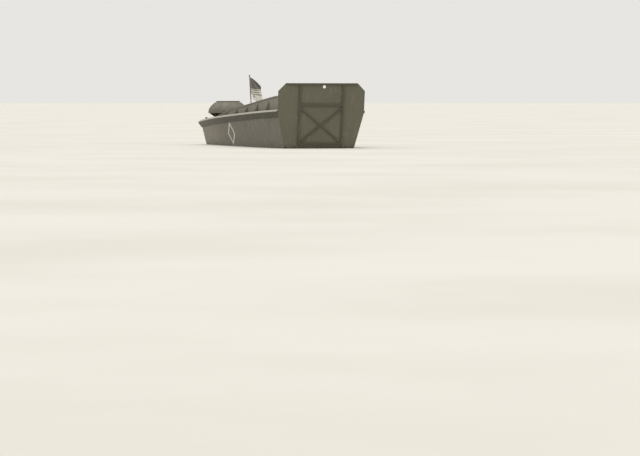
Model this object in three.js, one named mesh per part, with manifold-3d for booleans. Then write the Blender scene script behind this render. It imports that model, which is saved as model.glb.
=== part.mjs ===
// A vehicle and personnel landing craft: a flared, hard-chined wooden hull with a tunnel stern, an open
// cargo well, a raked bow ramp on hinges, an aft cockpit with engine box, steering wheel and ramp winch,
// and two round pits with domed shields on the stern deck.
// Millimetres. +X is forward, +Y is to port, +Z is up. Z = 0 is the light waterline, X = 0 is mid-length.
import * as THREE from "three";
import { mergeVertices } from "three/addons/utils/BufferGeometryUtils.js";
import Module from "manifold-3d";

const GAP = 0.5; // between pieces that touch

// Hull. Half-breadths and heights of the sheer (S), chine (C), bottom knuckle (Q), centreline (K) and of the
// well's inner wall (W), outside the planking.
const HULL = [
  // x, yS, zS, yC, zC, zQ, zK, yW
  [5450, 1352, 1236, 1098, 68, 20, -20, 1050],
  [4700, 1428, 1216, 1146, -110, -180, -240, 1105],
  [3800, 1492, 1190, 1200, -220, -340, -440, 1170],
  [2500, 1550, 1150, 1260, -280, -430, -560, 1195],
  [1000, 1578, 1101, 1295, -290, -440, -570, 1195],
  [-700, 1582, 1046, 1305, -275, -400, -500, 1195],
  [-2300, 1568, 989, 1300, -240, -330, -370, 1195],
  [-3700, 1540, 931, 1285, -200, -270, -210, 1195],
  [-4700, 1505, 880, 1255, -170, -225, -115, 1195],
  [-5560, 1462, 828, 1223, -138, -188, -67, 1195],
];
const QUARTER = 0.45; // the bottom's knuckle, as a share of the chine's half-breadth
// Stations, aft to fore. Between two of them every plank runs straight.
const STATIONS = [
  -5560, -5100, -4700, -4300, -3900, -3500, -3000, -2500, -1850, -1200, -500, 200, 900, 1500, 2000, 2500,
  2900, 3350, 3800, 4100, 4400, 4700, 4950, 5200, 5450,
];
const FRONT_X = STATIONS[STATIONS.length - 1]; // lofts run this far and are cut back to the bow plane
const STERN_X = -5500; // aft face of the transom
const WIDE = 1700; // past the hull's side, for shapes that are cut to it
const PLANK = { side: 28, bottom: 32, deck: 25, transom: 40, floor: 30, wall: 20 };
const TRANSOM_FORE_X = STERN_X + PLANK.transom;
const FLOOR_TOP = 40;
const FLOOR_STEP = 5; // the floors' flat stands this much above the edge that runs on under the walls
const FLOOR_CLEAR = 6; // from the flat to the walls and bulkheads
const WELL_AFT_X = -180; // the bulkhead between cargo well and cockpit
const WELL_BULKHEAD_TOP = 1060;
const COCKPIT_AFT_X = -3900; // the bulkhead under the forward edge of the stern deck
const COCKPIT_BULKHEAD_TOP = 895;

// Keel, skeg, propeller and rudder.
const KEEL = { half: 45, foreX: 4600, aftX: -5400, aftZ: -914, heelTop: -822, skegX: -4360, notch: 60 };
const KEEL_FOREFOOT = [[3900, -540], [3200, -640], [2200, -700]]; // [x, z] of the keel's lower edge forward
const PROP = { x: -4660, z: -480, radius: 279, blades: 3, pitch: 38, blade: 12, hub: 52, hubLong: 150 };
const SHAFT = { radius: 22, slope: THREE.MathUtils.degToRad(5), fore: 2350, run: 1, boss: 52 };
// Outline of a propeller blade: [radius from the shaft, offset along the blade's width].
const BLADE = [[40, -30], [120, -62], [200, -88], [255, -70], [279, -12], [273, 24], [250, 66], [190, 78],
  [110, 56], [40, 30]];
const RUDDER = { lead: -5000, trail: -5385, top: -200, bottom: -792, half: 27 };
const STOCK = { x: -5100, radius: 20, top: 120, pintle: 16, deep: 54 };
const TILLER = { long: 330, low: 70, high: 100, half: 18, boss: 42 };

// Rub rails: a heavy timber along the deck edge, bevelled above and below.
const RAIL = { out: 70, lip: 12, bevel: 60, face: 30, under: 150, toe: 20, sternOut: 56 };
const RAIL_HIGH = RAIL.bevel + RAIL.face + RAIL.under;

// Bow plane, raked forward, on which the posts stand and the ramp closes.
const BOW = { x: 5270, z: 1150, rake: THREE.MathUtils.degToRad(9.5) };
const POST = { inner: 1062, deep: 40, foot: 34, shoulder: 1330, head: 130, top: 1700, inset: 2 };
const HEADLOG = { aftX: 4880, top: 60, low: -300 };
const RAMP = { half: 1408, foot: 1140, plate: 8, off: 6, top: 2057, corner: 245, bottom: 40, waist: 1120 };
const RAMP_HOLE = { radius: 50, y: 80, z: 1942 };
const RIB = { y: 700, wide: 60, deep: 48, low: 130, high: 2035, cross: 1370, crossTop: 1290, crossLow: 170 };
const HINGE = { ys: [-760, 0, 760], names: ["starboard", "middle", "port"], out: 34, pin: 10, run: 0.6 };
const KNUCKLE = { radius: 22, half: 40, strap: 60, notch: 70 };
const LUG = { radius: 24, thick: 14, off: 46 };
const SHEAVE = { x0: 5050, x1: 5210, radius: 62, groove: 48, half: 24, cheek: 7, foot: 10, lift: 82 };

// Coamings: steel plate with a capped edge and triangular brackets on the side decks.
const COAMING = { plate: 12, capWide: 46, capHigh: 34, aftX: -4560 };
const COAMING_TOP = [[5450, 1712], [4100, 1655], [-2050, 1215], [-4560, 925]]; // [x, z] of its top edge
const BRACKET = { xs: [4750, 3300, 1850, 400, -1050, -2500], reach: 160, share: 0.8, thick: 14, toe: 20 };

// Stern deck with its hatch, the two round pits and their domed shields.
const HATCH = { x0: -5440, x1: -5130, half: 210, frame: 24, low: 815, top: 889, lid: 26, lap: 12, clear: 6 };
const HATCH_PIN = { radius: 8, out: 9, lift: 4, near: 60, far: 150 };
const PIT = { x: -4600, y: 700, radius: 470, wall: 14, foot: 350, rim: 1084, sides: 32 };
const DOME = { radius: 680, high: 462, ring: 400, collar: 20, lip: 16, plate: 12, steps: 6 };

// Engine, its box and lid, steering and winch.
const ENGINE = { x0: -2300, x1: -1000, half: 290, low: -290, top: 700, beside: 30 };
const BEARER = { y: 265, half: 35, past: 120, low: -500, top: -230 };
const ENGINE_BOX = { x0: -2450, x1: -850, half: 480, wall: 18, top: 960 };
const LID = { lap: 26, thick: 22, lip: 40, edge: 14, portEdge: 2, lipEnd: 40 };
const LID_PIN = { radius: 9, out: 8, lift: 10, near: 100, far: 320 };
const HELM = { y: 660, z: 870, aftX: -3060, foreX: -2800, wheelX: -3130, ring: 245, half: 150, wall: 16 };
const WHEEL = { tube: 16, spokes: 6, hub: 42, hubHalf: 26, shaft: 16 };
const WINCH = { x: -3100, y: -1000, z: 780, wide: 200, cheek: 12, foot: 160, head: 60, drum: 60, flange: 105 };
const CRANK = { shaft: 15, long: 250, handle: 140, grip: 14, arm: 14 };

// Fittings on the stern deck, the staff and the ensign.
const TOW = { x: -4980, radius: 48, high: 290, pad: 90, bar: 105 };
const CLEAT = { x: -5300, y: 1310, pad: 70, horn: 150, high: 80 };
const STAFF = { x: -3962, lean: 0.274, top: 2400, radius: 15, socket: 26 };
const ENSIGN = { low: 1512, high: 2345, near: 15.6, far: 350, thick: 26, wave: 34, folds: 1.1, steps: 8 };

const wasm = await Module();
wasm.setup();

// A smooth value of one column of the hull table at x.
function column(index, x) {
  const last = HULL.length - 1;
  let i = 0;
  while (i < last - 1 && x < HULL[i + 1][0]) i += 1;
  const slope = (a, b) => (HULL[b][index] - HULL[a][index]) / (HULL[b][0] - HULL[a][0]);
  const tangent = (k) => slope(Math.max(k - 1, 0), Math.min(k + 1, last));
  const span = HULL[i + 1][0] - HULL[i][0];
  const t = (x - HULL[i][0]) / span;
  return (
    (1 + 2 * t) * (1 - t) ** 2 * HULL[i][index] +
    t * (1 - t) ** 2 * span * tangent(i) +
    t * t * (3 - 2 * t) * HULL[i + 1][index] -
    t * t * (1 - t) * span * tangent(i + 1)
  );
}

// The hull's section at x, outside the planking.
function section(x) {
  const i = Math.max(STATIONS.findIndex((at) => at >= x), 1);
  const [x0, x1] = [STATIONS[i - 1], STATIONS[i]];
  const t = (x - x0) / (x1 - x0);
  const straight = (index) => (1 - t) * column(index, x0) + t * column(index, x1);
  const [yS, zS, yC, zC, zQ, zK, yW] = [1, 2, 3, 4, 5, 6, 7].map(straight);
  return { yS, zS, yC, zC, zQ, zK, yW, yQ: QUARTER * yC };
}
const deckZ = (x) => section(x).zS;
// Half-breadth of the side planking's outer face at a height.
const sideY = (s, z) => s.yC + ((s.yS - s.yC) * (z - s.zC)) / (s.zS - s.zC);
const stationsBetween = (x0, x1) => [x0, ...STATIONS.filter((x) => x > x0 + 1 && x < x1 - 1), x1];

// A geometry as a solid, and back.
function solid(geometry) {
  const plain = geometry.index ? geometry.toNonIndexed() : geometry.clone();
  for (const name of Object.keys(plain.attributes)) {
    if (name !== "position") plain.deleteAttribute(name);
  }
  const merged = mergeVertices(plain, 1e-3);
  const vertProperties = merged.attributes.position.array;
  const triVerts = new Uint32Array(merged.index.array);
  return new wasm.Manifold(new wasm.Mesh({ numProp: 3, vertProperties, triVerts }));
}
function geometryOf(made) {
  const mesh = made.getMesh();
  const geometry = new THREE.BufferGeometry();
  geometry.setAttribute("position", new THREE.BufferAttribute(new Float32Array(mesh.vertProperties), 3));
  geometry.setIndex(new THREE.BufferAttribute(new Uint32Array(mesh.triVerts), 1));
  return geometry;
}
const join = (...geometries) => geometryOf(geometries.map(solid).reduce((a, b) => a.add(b)));
const cut = (geometry, ...tools) =>
  geometryOf(tools.map(solid).reduce((a, b) => a.subtract(b), solid(geometry)));
const common = (a, b) => geometryOf(solid(a).intersect(solid(b)));

// A closed solid through rings of [x, y, z] points, each ring with the same number of points.
function loft(rings) {
  const count = rings[0].length;
  const flat = rings[0].map(([, y, z]) => new THREE.Vector2(y, z));
  const clockwise = THREE.ShapeUtils.isClockWise(flat);
  const last = (rings.length - 1) * count;
  const index = [];
  const face = (a, b, c) => (clockwise ? index.push(a, b, c) : index.push(a, c, b));
  for (let r = 0; r < rings.length - 1; r += 1) {
    for (let k = 0; k < count; k += 1) {
      const a = r * count + k;
      const b = r * count + ((k + 1) % count);
      face(a, a + count, b);
      face(b, a + count, b + count);
    }
  }
  for (const [a, b, c] of THREE.ShapeUtils.triangulateShape(flat, [])) {
    const sameWay = THREE.ShapeUtils.area([flat[a], flat[b], flat[c]]) > 0 === !clockwise;
    const [p, q] = sameWay ? [b, c] : [c, b];
    face(a, p, q);
    face(last + a, last + q, last + p);
  }
  const geometry = new THREE.BufferGeometry();
  geometry.setAttribute("position", new THREE.BufferAttribute(new Float32Array(rings.flat(2)), 3));
  geometry.setIndex(index);
  return geometry;
}
// A member along the hull: outline(section, x) gives its [y, z] points, for one side or the other.
function member(x0, x1, side, outline) {
  return loft(stationsBetween(x0, x1).map((x) => outline(section(x), x).map(([y, z]) => [x, side * y, z])));
}
function box(x0, x1, y0, y1, z0, z1) {
  const geometry = new THREE.BoxGeometry(x1 - x0, y1 - y0, z1 - z0);
  return geometry.translate((x0 + x1) / 2, (y0 + y1) / 2, (z0 + z1) / 2);
}
// The same surface with its faces turned round.
function flipped(geometry) {
  for (const name of Object.keys(geometry.attributes)) {
    if (name !== "position") geometry.deleteAttribute(name);
  }
  const merged = mergeVertices(geometry, 1e-3);
  const order = merged.index.array;
  for (let i = 0; i < order.length; i += 3) [order[i + 1], order[i + 2]] = [order[i + 2], order[i + 1]];
  return merged;
}
// An outline in the plane across an axis, from one place on that axis to another. Its points are [y, z]
// across X, [x, z] across Y and [x, y] across Z.
function prism(axis, points, from, to, holes = []) {
  const vectors = (list) => list.map(([a, b]) => new THREE.Vector2(a, b));
  const outline = new THREE.Shape(vectors(points));
  outline.holes = holes.map((hole) => new THREE.Path(vectors(hole)));
  const geometry = new THREE.ExtrudeGeometry(outline, { depth: to - from, bevelEnabled: false });
  geometry.translate(0, 0, from);
  const [x, y, z] = [[1, 0, 0], [0, 1, 0], [0, 0, 1]].map((unit) => new THREE.Vector3(...unit));
  if (axis === "x") return geometry.applyMatrix4(new THREE.Matrix4().makeBasis(y, z, x));
  if (axis === "y") return flipped(geometry.applyMatrix4(new THREE.Matrix4().makeBasis(x, z, y)));
  return geometry;
}
function circle(radius, sides, [a, b] = [0, 0]) {
  const angles = Array.from({ length: sides }, (_, i) => (2 * Math.PI * i) / sides);
  return angles.map((angle) => [a + radius * Math.cos(angle), b + radius * Math.sin(angle)]);
}
// A round bar along an axis, through a point of the other two axes.
const bar = (axis, radius, from, to, centre, sides = 12) =>
  prism(axis, circle(radius, sides, centre), from, to);
// A ring or cup turned about a vertical axis, from a closed profile of [radius, z] points.
function turned(profile, sides, x, y) {
  const points = profile.map(([r, z]) => new THREE.Vector2(r, z));
  if (THREE.ShapeUtils.isClockWise(points)) points.reverse();
  const geometry = new THREE.LatheGeometry([...points, points[0].clone()], sides);
  return geometry.rotateX(Math.PI / 2).translate(x, y, 0);
}

// Everything more than an offset ahead of the raked bow plane.
const bowX = (z, offset = 0) => BOW.x + (z - BOW.z) * Math.tan(BOW.rake) + offset / Math.cos(BOW.rake);
function aheadOfBow(offset) {
  const [low, high, reach] = [-1500, 3500, 3000];
  const outline = [[bowX(low, offset), low], [bowX(low, offset) + reach, low],
    [bowX(high, offset) + reach, high], [bowX(high, offset), high]];
  return prism("y", outline, -reach, reach);
}
const behindPosts = (geometry) => cut(geometry, aheadOfBow(-POST.deep - GAP));
const upBow = (z) => (z - BOW.z) / Math.cos(BOW.rake); // a height as a distance up along the bow plane
// A round bar along the propeller shaft's line, between two distances forward of the propeller.
function onShaft(radius, from, to) {
  return bar("x", radius, from, to, [0, 0]).rotateY(-SHAFT.slope).translate(PROP.x, 0, PROP.z);
}
const shaftHole = () => onShaft(SHAFT.radius + SHAFT.run, 200, SHAFT.fore + 20);

// A pad that follows the deck's slope, from which a fitting stands.
function deckPad(x0, x1, half, thick) {
  const outline = [[x0, deckZ(x0) + GAP], [x1, deckZ(x1) + GAP], [x1, deckZ(x1) + thick],
    [x0, deckZ(x0) + thick]];
  return prism("y", outline, -half, half);
}

const paint = (color, roughness = 0.7, metalness = 0) =>
  new THREE.MeshStandardMaterial({ color, roughness, metalness });
const HULL_GREY = paint(0x716f64);
const STEEL_GREY = paint(0x66644f, 0.6, 0.2);
const RAIL_GREY = paint(0x57564c);
const DECK_GREY = paint(0x6b6a60, 0.85);
const WOOD = paint(0x6e6250, 0.8);
const BRONZE = paint(0x8a6d3b, 0.45, 0.9);
const IRON = paint(0x3c3c38, 0.6, 0.6);
const CLOTH = paint(0x9a958b, 0.95);

const craft = new THREE.Group();
const bow = new THREE.Group(); // its X is out from the bow plane, its Z up along it
bow.position.set(BOW.x, 0, BOW.z);
bow.rotation.y = BOW.rake;
craft.add(bow);
function add(name, geometry, material, parent = craft) {
  const mesh = new THREE.Mesh(geometry, material);
  mesh.name = name;
  parent.add(mesh);
}
const SIDES = [["starboard", -1], ["port", 1]];

// A layer that follows the hull's bottom, from a depth below it to a height above its outer face.
function bottomLayer(below, above) {
  return loft(stationsBetween(TRANSOM_FORE_X, FRONT_X).map((x) => {
    const s = section(x);
    const line = [[-s.yC, s.zC], [-s.yQ, s.zQ], [0, s.zK], [s.yQ, s.zQ], [s.yC, s.zC]];
    const under = line.map(([y, z]) => [x, y, z - below]);
    return [...under, ...line.map(([y, z]) => [x, y, z + above]).reverse()];
  }));
}
// A layer that follows the hull's side, from a distance outside it to a distance inside its outer face.
function sideLayer(side, out, inward) {
  return member(STERN_X, FRONT_X, side, (s) => {
    const low = s.zC + PLANK.bottom + GAP;
    const high = s.zS - PLANK.deck - GAP;
    return [[sideY(s, low) + out, low], [sideY(s, high) + out, high],
      [sideY(s, high) - inward, high], [sideY(s, low) - inward, low]];
  });
}
// What lies within the planking, for floors and bulkheads to be cut to.
function insideHull() {
  const into = { side: 10, bottom: 20 }; // part of the way into the planks, which are then cut away
  const rough = loft(stationsBetween(TRANSOM_FORE_X + GAP, FRONT_X).map((x) => {
    const s = section(x);
    const high = s.zS - PLANK.deck - GAP;
    const half = [[sideY(s, high) - into.side, high], [s.yC - into.side, s.zC + into.bottom],
      [s.yQ, s.zQ + into.bottom]];
    const other = half.map(([y, z]) => [-y, z]).reverse();
    return [...half, [0, s.zK + into.bottom], ...other].map(([y, z]) => [x, y, z]);
  }));
  const sides = SIDES.map(([, side]) => sideLayer(side, 0, PLANK.side + GAP));
  return cut(rough, bottomLayer(0, PLANK.bottom + GAP), ...sides);
}
const inside = insideHull();

// Hull shell.
function bottomPlanking() {
  const stockHole = bar("z", STOCK.radius + SHAFT.run, -400, 200, [STOCK.x, 0]);
  return cut(bottomLayer(0, PLANK.bottom), aheadOfBow(-GAP), stockHole, shaftHole());
}
function sidePlanking(side) {
  const transomEdge = box(STERN_X - 10, TRANSOM_FORE_X, -WIDE, WIDE, -500, 1500);
  return behindPosts(cut(sideLayer(side, 0, PLANK.side), transomEdge));
}
function transom() {
  const s = section(STERN_X);
  const top = s.zS - PLANK.deck - GAP;
  const half = [[sideY(s, top), top], [s.yC, s.zC], [s.yQ, s.zQ]];
  const outline = [...half, [0, s.zK], ...half.map(([y, z]) => [-y, z]).reverse()];
  return prism("x", outline, STERN_X, TRANSOM_FORE_X - GAP);
}
// Keel and skeg, with the propeller's aperture and the heel under the rudder.
function keelAndSkeg() {
  const top = stationsBetween(KEEL.skegX, KEEL.foreX).map((x) => [x, section(x).zK + 20]);
  const aft = [[KEEL.aftX, KEEL.aftZ], [KEEL.aftX, KEEL.heelTop], [KEEL.skegX - KEEL.notch, KEEL.heelTop],
    [KEEL.skegX, KEEL.heelTop + KEEL.notch]];
  const body = prism("y", [...top, ...KEEL_FOREFOOT, ...aft], -KEEL.half, KEEL.half);
  const pintleHole = bar("z", STOCK.pintle + 1, KEEL.heelTop - STOCK.deep - 6, KEEL.heelTop + 10, [STOCK.x, 0]);
  return cut(join(body, onShaft(SHAFT.boss, 250, 420)), bottomLayer(GAP, 300), shaftHole(), pintleHole);
}
add("bottom_planking", bottomPlanking(), HULL_GREY);
add("transom", transom(), HULL_GREY);
add("keel_and_skeg", keelAndSkeg(), HULL_GREY);

// Rub rails.
function sideRail(side) {
  const rail = member(STERN_X, FRONT_X, side, (s) => {
    const foot = sideY(s, s.zS - RAIL_HIGH) + GAP;
    return [[s.yS + GAP, s.zS], [s.yS + RAIL.lip, s.zS], [s.yS + RAIL.out, s.zS - RAIL.bevel],
      [s.yS + RAIL.out, s.zS - RAIL.bevel - RAIL.face], [foot + RAIL.toe, s.zS - RAIL_HIGH],
      [foot, s.zS - RAIL_HIGH], [s.yS + GAP, s.zS - PLANK.deck - 2 * GAP]];
  });
  return cut(rail, aheadOfBow(-GAP), sideLayer(side, GAP, 300));
}
function sternRail() {
  const s = section(STERN_X);
  const outline = [[-GAP, 0], [-RAIL.lip, 0], [-RAIL.sternOut, -RAIL.bevel],
    [-RAIL.sternOut, -RAIL.bevel - RAIL.face], [-RAIL.toe, -RAIL_HIGH], [-GAP, -RAIL_HIGH]];
  const half = s.yS + RAIL.out;
  const foot = sideY(s, s.zS - RAIL_HIGH) + GAP;
  const end = [[s.yS + RAIL.lip, s.zS], [half, s.zS - RAIL.bevel], [half, s.zS - RAIL.bevel - RAIL.face],
    [foot + RAIL.toe, s.zS - RAIL_HIGH]];
  const mitre = [...end, ...end.map(([y, z]) => [-y, z]).reverse()];
  return common(
    prism("y", outline.map(([x, z]) => [STERN_X + x, s.zS + z]), -half, half),
    prism("x", mitre, STERN_X - RAIL.out, STERN_X),
  );
}
add("rub_rail_stern", sternRail(), RAIL_GREY);

// Bow posts beside the ramp's opening, and the headlog under it.
function bowPost(side) {
  const atDeck = section(bowX(deckZ(BOW.x)));
  const atFoot = section(bowX(POST.foot));
  const outer = atDeck.yS - POST.inset;
  const outline = [[POST.inner, upBow(POST.foot)], [sideY(atFoot, POST.foot) - POST.inset, upBow(POST.foot)],
    [outer, upBow(atDeck.zS)], [outer, upBow(POST.shoulder)], [POST.inner + POST.head, upBow(POST.top)],
    [POST.inner, upBow(POST.top)]];
  return prism("x", outline.map(([y, w]) => [side * y, w]), -POST.deep, -GAP);
}
function headlog() {
  const { aftX, top, low } = HEADLOG;
  const outline = [[aftX, low], [bowX(low, -GAP), low], [bowX(top, -GAP), top], [aftX, top]];
  return common(prism("y", outline, -POST.inner + GAP, POST.inner - GAP), inside);
}
add("headlog", headlog(), WOOD);

// Coamings, and the heights of their top edge.
function coamingTop(x) {
  const i = Math.min(Math.max(COAMING_TOP.findIndex(([at]) => x >= at), 1), COAMING_TOP.length - 1);
  const [[x1, z1], [x0, z0]] = [COAMING_TOP[i - 1], COAMING_TOP[i]];
  return z0 + ((z1 - z0) * (x - x0)) / (x1 - x0);
}
function bracket(side, x) {
  const s = section(x);
  const foot = deckZ(x + BRACKET.thick) + GAP + 1;
  const height = (coamingTop(x) - foot) * BRACKET.share;
  const y = s.yW + COAMING.plate / 2;
  const reach = Math.min(BRACKET.reach, s.yS - y - 60);
  const outline = [[y, foot], [y + reach, foot], [y + reach, foot + BRACKET.toe], [y, foot + height]];
  return prism("x", outline.map(([u, z]) => [side * u, z]), x - BRACKET.thick / 2, x + BRACKET.thick / 2);
}
function coaming(side) {
  const bends = COAMING_TOP.map(([x]) => x).filter((x) => x > COAMING.aftX && x < FRONT_X);
  const xs = [...new Set([...stationsBetween(COAMING.aftX, FRONT_X), ...bends])].sort((a, b) => a - b);
  const strip = (y0, y1, lowZ, drop) =>
    loft(xs.map((x) => {
      const y = section(x).yW;
      return [[x, side * (y + y0), lowZ(x)], [x, side * (y + y1), lowZ(x)],
        [x, side * (y + y1), coamingTop(x) - drop], [x, side * (y + y0), coamingTop(x) - drop]];
    }));
  const spread = (COAMING.capWide - COAMING.plate) / 2;
  const plate = strip(0, COAMING.plate, (x) => deckZ(x) + GAP, 1);
  const cap = strip(-spread, COAMING.plate + spread, (x) => coamingTop(x) - COAMING.capHigh, 0);
  return behindPosts(join(plate, cap, ...BRACKET.xs.map((x) => bracket(side, x))));
}

// What runs along each side: planking, rail, post, side deck, well wall and coaming.
function sideDeck(side) {
  return behindPosts(member(COCKPIT_AFT_X + GAP, FRONT_X, side, (s) => [
    [s.yW, s.zS - PLANK.deck], [s.yS, s.zS - PLANK.deck], [s.yS, s.zS], [s.yW, s.zS]]));
}
function wellWall(side) {
  return behindPosts(member(COCKPIT_AFT_X + GAP, FRONT_X, side, (s) => {
    const [low, high] = [FLOOR_TOP - FLOOR_STEP + GAP, s.zS - PLANK.deck - GAP];
    return [[s.yW, low], [s.yW + PLANK.wall, low], [s.yW + PLANK.wall, high], [s.yW, high]];
  }));
}
for (const [name, side] of SIDES) {
  add("side_planking_" + name, sidePlanking(side), HULL_GREY);
  add("rub_rail_" + name, sideRail(side), RAIL_GREY);
  add("bow_post_" + name, bowPost(side), STEEL_GREY, bow);
  add("side_deck_" + name, sideDeck(side), DECK_GREY);
  add("well_wall_" + name, wellWall(side), HULL_GREY);
  add("coaming_" + name, coaming(side), HULL_GREY);
}

// Floors: planking out to the hull's side, and on it the flat between the walls, from one bulkhead to the next.
function floor(x0, x1, flatX0, flatX1) {
  const edge = common(box(x0, x1, -WIDE, WIDE, FLOOR_TOP - PLANK.floor, FLOOR_TOP - FLOOR_STEP), inside);
  const [low, high] = [FLOOR_TOP - PLANK.floor / 2, FLOOR_TOP];
  const flat = loft(stationsBetween(flatX0 + FLOOR_CLEAR, flatX1 - FLOOR_CLEAR).map((x) => {
    const y = section(x).yW - FLOOR_CLEAR;
    return [[x, -y, low], [x, y, low], [x, y, high], [x, -y, high]];
  }));
  return join(edge, flat);
}
const BULKHEAD_HALF = PLANK.wall / 2;
const cargoFloor = () =>
  floor(WELL_AFT_X + GAP, HEADLOG.aftX - GAP, WELL_AFT_X + BULKHEAD_HALF, HEADLOG.aftX);
// The cockpit's floor is open around the engine.
function cockpitFloor() {
  const { x0, x1, half, beside } = ENGINE;
  const well = box(x0 - beside, x1 + beside, -half - beside, half + beside, -100, 100);
  return cut(floor(COCKPIT_AFT_X + GAP, WELL_AFT_X, COCKPIT_AFT_X, WELL_AFT_X - BULKHEAD_HALF), well);
}

// Bulkheads.
function wellBulkhead() {
  const half = section(WELL_AFT_X).yW - GAP;
  const [x0, x1] = [WELL_AFT_X - BULKHEAD_HALF, WELL_AFT_X + BULKHEAD_HALF];
  return box(x0, x1, -half, half, FLOOR_TOP - FLOOR_STEP + GAP, WELL_BULKHEAD_TOP);
}
const cockpitBulkhead = () =>
  common(box(COCKPIT_AFT_X - PLANK.wall, COCKPIT_AFT_X, -WIDE, WIDE, -900, COCKPIT_BULKHEAD_TOP), inside);
add("cargo_floor", cargoFloor(), DECK_GREY);
add("cockpit_floor", cockpitFloor(), DECK_GREY);
add("well_bulkhead", wellBulkhead(), HULL_GREY);
add("cockpit_bulkhead", cockpitBulkhead(), HULL_GREY);

// Stern deck, with a raised frame round the hatch and a hole for each pit.
function sternDeck() {
  const deck = loft(stationsBetween(STERN_X, COCKPIT_AFT_X).map((x) => {
    const s = section(x);
    return [[x, -s.yS, s.zS - PLANK.deck], [x, s.yS, s.zS - PLANK.deck], [x, s.yS, s.zS], [x, -s.yS, s.zS]];
  }));
  const { x0, x1, half, frame, low, top } = HATCH;
  const raised = join(deck, box(x0 - frame, x1 + frame, -half - frame, half + frame, low, top));
  const pits = SIDES.map(([, side]) => bar("z", PIT.radius + GAP, 700, 1000, [PIT.x, side * PIT.y], PIT.sides));
  return cut(raised, box(x0, x1, -half, half, 700, 1000), ...pits);
}
add("stern_deck", sternDeck(), DECK_GREY);

// The pits: a round tub let into the deck, with a floor, and a domed shield round its rim, in a fore and an
// aft half.
function pitTub(side) {
  const { radius, wall, foot, rim } = PIT;
  const profile = [[0, foot], [radius, foot], [radius, rim], [radius - wall, rim],
    [radius - wall, foot + wall], [0, foot + wall]];
  return turned(profile, PIT.sides, PIT.x, side * PIT.y);
}
function pitShield(side, end) {
  const base = PIT.rim + GAP;
  const eaves = base + DOME.plate;
  const shoulder = (inset) => {
    const [reach, rise] = [DOME.radius - inset, DOME.high - inset];
    const sweep = Math.acos((DOME.ring - inset / DOME.steps) / reach);
    return Array.from({ length: DOME.steps + 1 }, (_, i) => (sweep * i) / DOME.steps).map((angle) => [
      reach * Math.cos(angle), eaves + rise * Math.sin(angle)]);
  };
  const outer = shoulder(0);
  const top = outer[DOME.steps][1] + DOME.collar;
  const hole = PIT.radius - PIT.wall;
  const profile = [[hole, base], [DOME.radius, base], ...outer, [DOME.ring, top], [DOME.ring - DOME.lip, top],
    ...shoulder(DOME.plate).reverse(), [hole, eaves]];
  const [x0, x1] = [PIT.x + (end * GAP) / 2, PIT.x + end * WIDE].sort((a, b) => a - b);
  return common(turned(profile, PIT.sides, PIT.x, side * PIT.y), box(x0, x1, -WIDE, WIDE, 0, 2 * WIDE));
}
for (const [name, side] of SIDES) {
  add("pit_tub_" + name, pitTub(side), STEEL_GREY);
  add("pit_shield_fore_" + name, pitShield(side, 1), HULL_GREY);
  add("pit_shield_aft_" + name, pitShield(side, -1), HULL_GREY);
}

// Bow ramp, in the bow plane's frame: a plate with hinge knuckles, and the stiffeners on its outer face.
const PIN = [HINGE.out, upBow(RAMP.bottom)]; // the hinge's axis
const RIBS_AT = RAMP.off + RAMP.plate + GAP;
function rampPlate() {
  const { half, foot, top, corner, bottom, waist, off, plate } = RAMP;
  const right = [[foot, upBow(bottom)], [half, upBow(waist)], [half, upBow(top - corner)],
    [half - corner, upBow(top)]];
  const outline = [...right, ...right.map(([y, w]) => [-y, w]).reverse()];
  const hole = circle(RAMP_HOLE.radius, 20, [RAMP_HOLE.y, upBow(RAMP_HOLE.z)]);
  const panel = prism("x", outline, off, off + plate, [hole]);
  const [cutLow, cutHigh] = [PIN[1] - 10, PIN[1] + 40];
  const notches = HINGE.ys.map((y) => box(0, 30, y - KNUCKLE.notch, y + KNUCKLE.notch, cutLow, cutHigh));
  const knuckles = HINGE.ys.map((y) => join(
    bar("y", KNUCKLE.radius, y - KNUCKLE.half, y + KNUCKLE.half, PIN, 16),
    box(off + 1, HINGE.out, y - KNUCKLE.half, y + KNUCKLE.half, PIN[1], PIN[1] + KNUCKLE.strap),
  ));
  return cut(join(cut(panel, ...notches), ...knuckles), bar("y", HINGE.pin + HINGE.run, -foot, foot, PIN));
}
// A straight flat bar on the ramp's outer face between two [y, z] points.
function rib([y0, z0], [y1, z1], wide, deep) {
  const [w0, w1] = [upBow(z0), upBow(z1)];
  const long = Math.hypot(y1 - y0, w1 - w0);
  const [sy, sw] = [((w0 - w1) / long) * (wide / 2), ((y1 - y0) / long) * (wide / 2)];
  const outline = [[y0 - sy, w0 - sw], [y1 - sy, w1 - sw], [y1 + sy, w1 + sw], [y0 + sy, w0 + sw]];
  return prism("x", outline, RIBS_AT, RIBS_AT + deep);
}
function rampStiffeners() {
  const { y, wide, deep, low, high, cross, crossTop, crossLow } = RIB;
  const head = RAMP.half - RAMP.corner;
  return join(
    rib([-y, low], [-y, high], wide, deep),
    rib([y, low], [y, high], wide, deep),
    rib([-y, cross], [y, cross], wide, deep),
    rib([-y, low + 20], [y, low + 20], wide - 10, deep),
    rib([-y, crossTop], [y, crossLow], wide - 10, deep - 10),
    rib([y, crossTop], [-y, crossLow], wide - 10, deep - 10),
    rib([-head, high], [head, high], wide - 20, deep),
  );
}
function rampHinge(y) {
  const lug = (from) => join(
    box(0, HINGE.out, from, from + LUG.thick, PIN[1] - LUG.radius, PIN[1] + LUG.radius / 2),
    bar("y", LUG.radius, from, from + LUG.thick, PIN),
  );
  const end = LUG.off + LUG.thick;
  return join(lug(y - end), lug(y + LUG.off), bar("y", HINGE.pin, y - end - 4, y + end + 4, PIN));
}
add("ramp_plate", rampPlate(), STEEL_GREY, bow);
add("ramp_stiffeners", rampStiffeners(), STEEL_GREY, bow);
HINGE.ys.forEach((y, i) => add("ramp_hinge_" + HINGE.names[i], rampHinge(y), IRON, bow));

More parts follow.
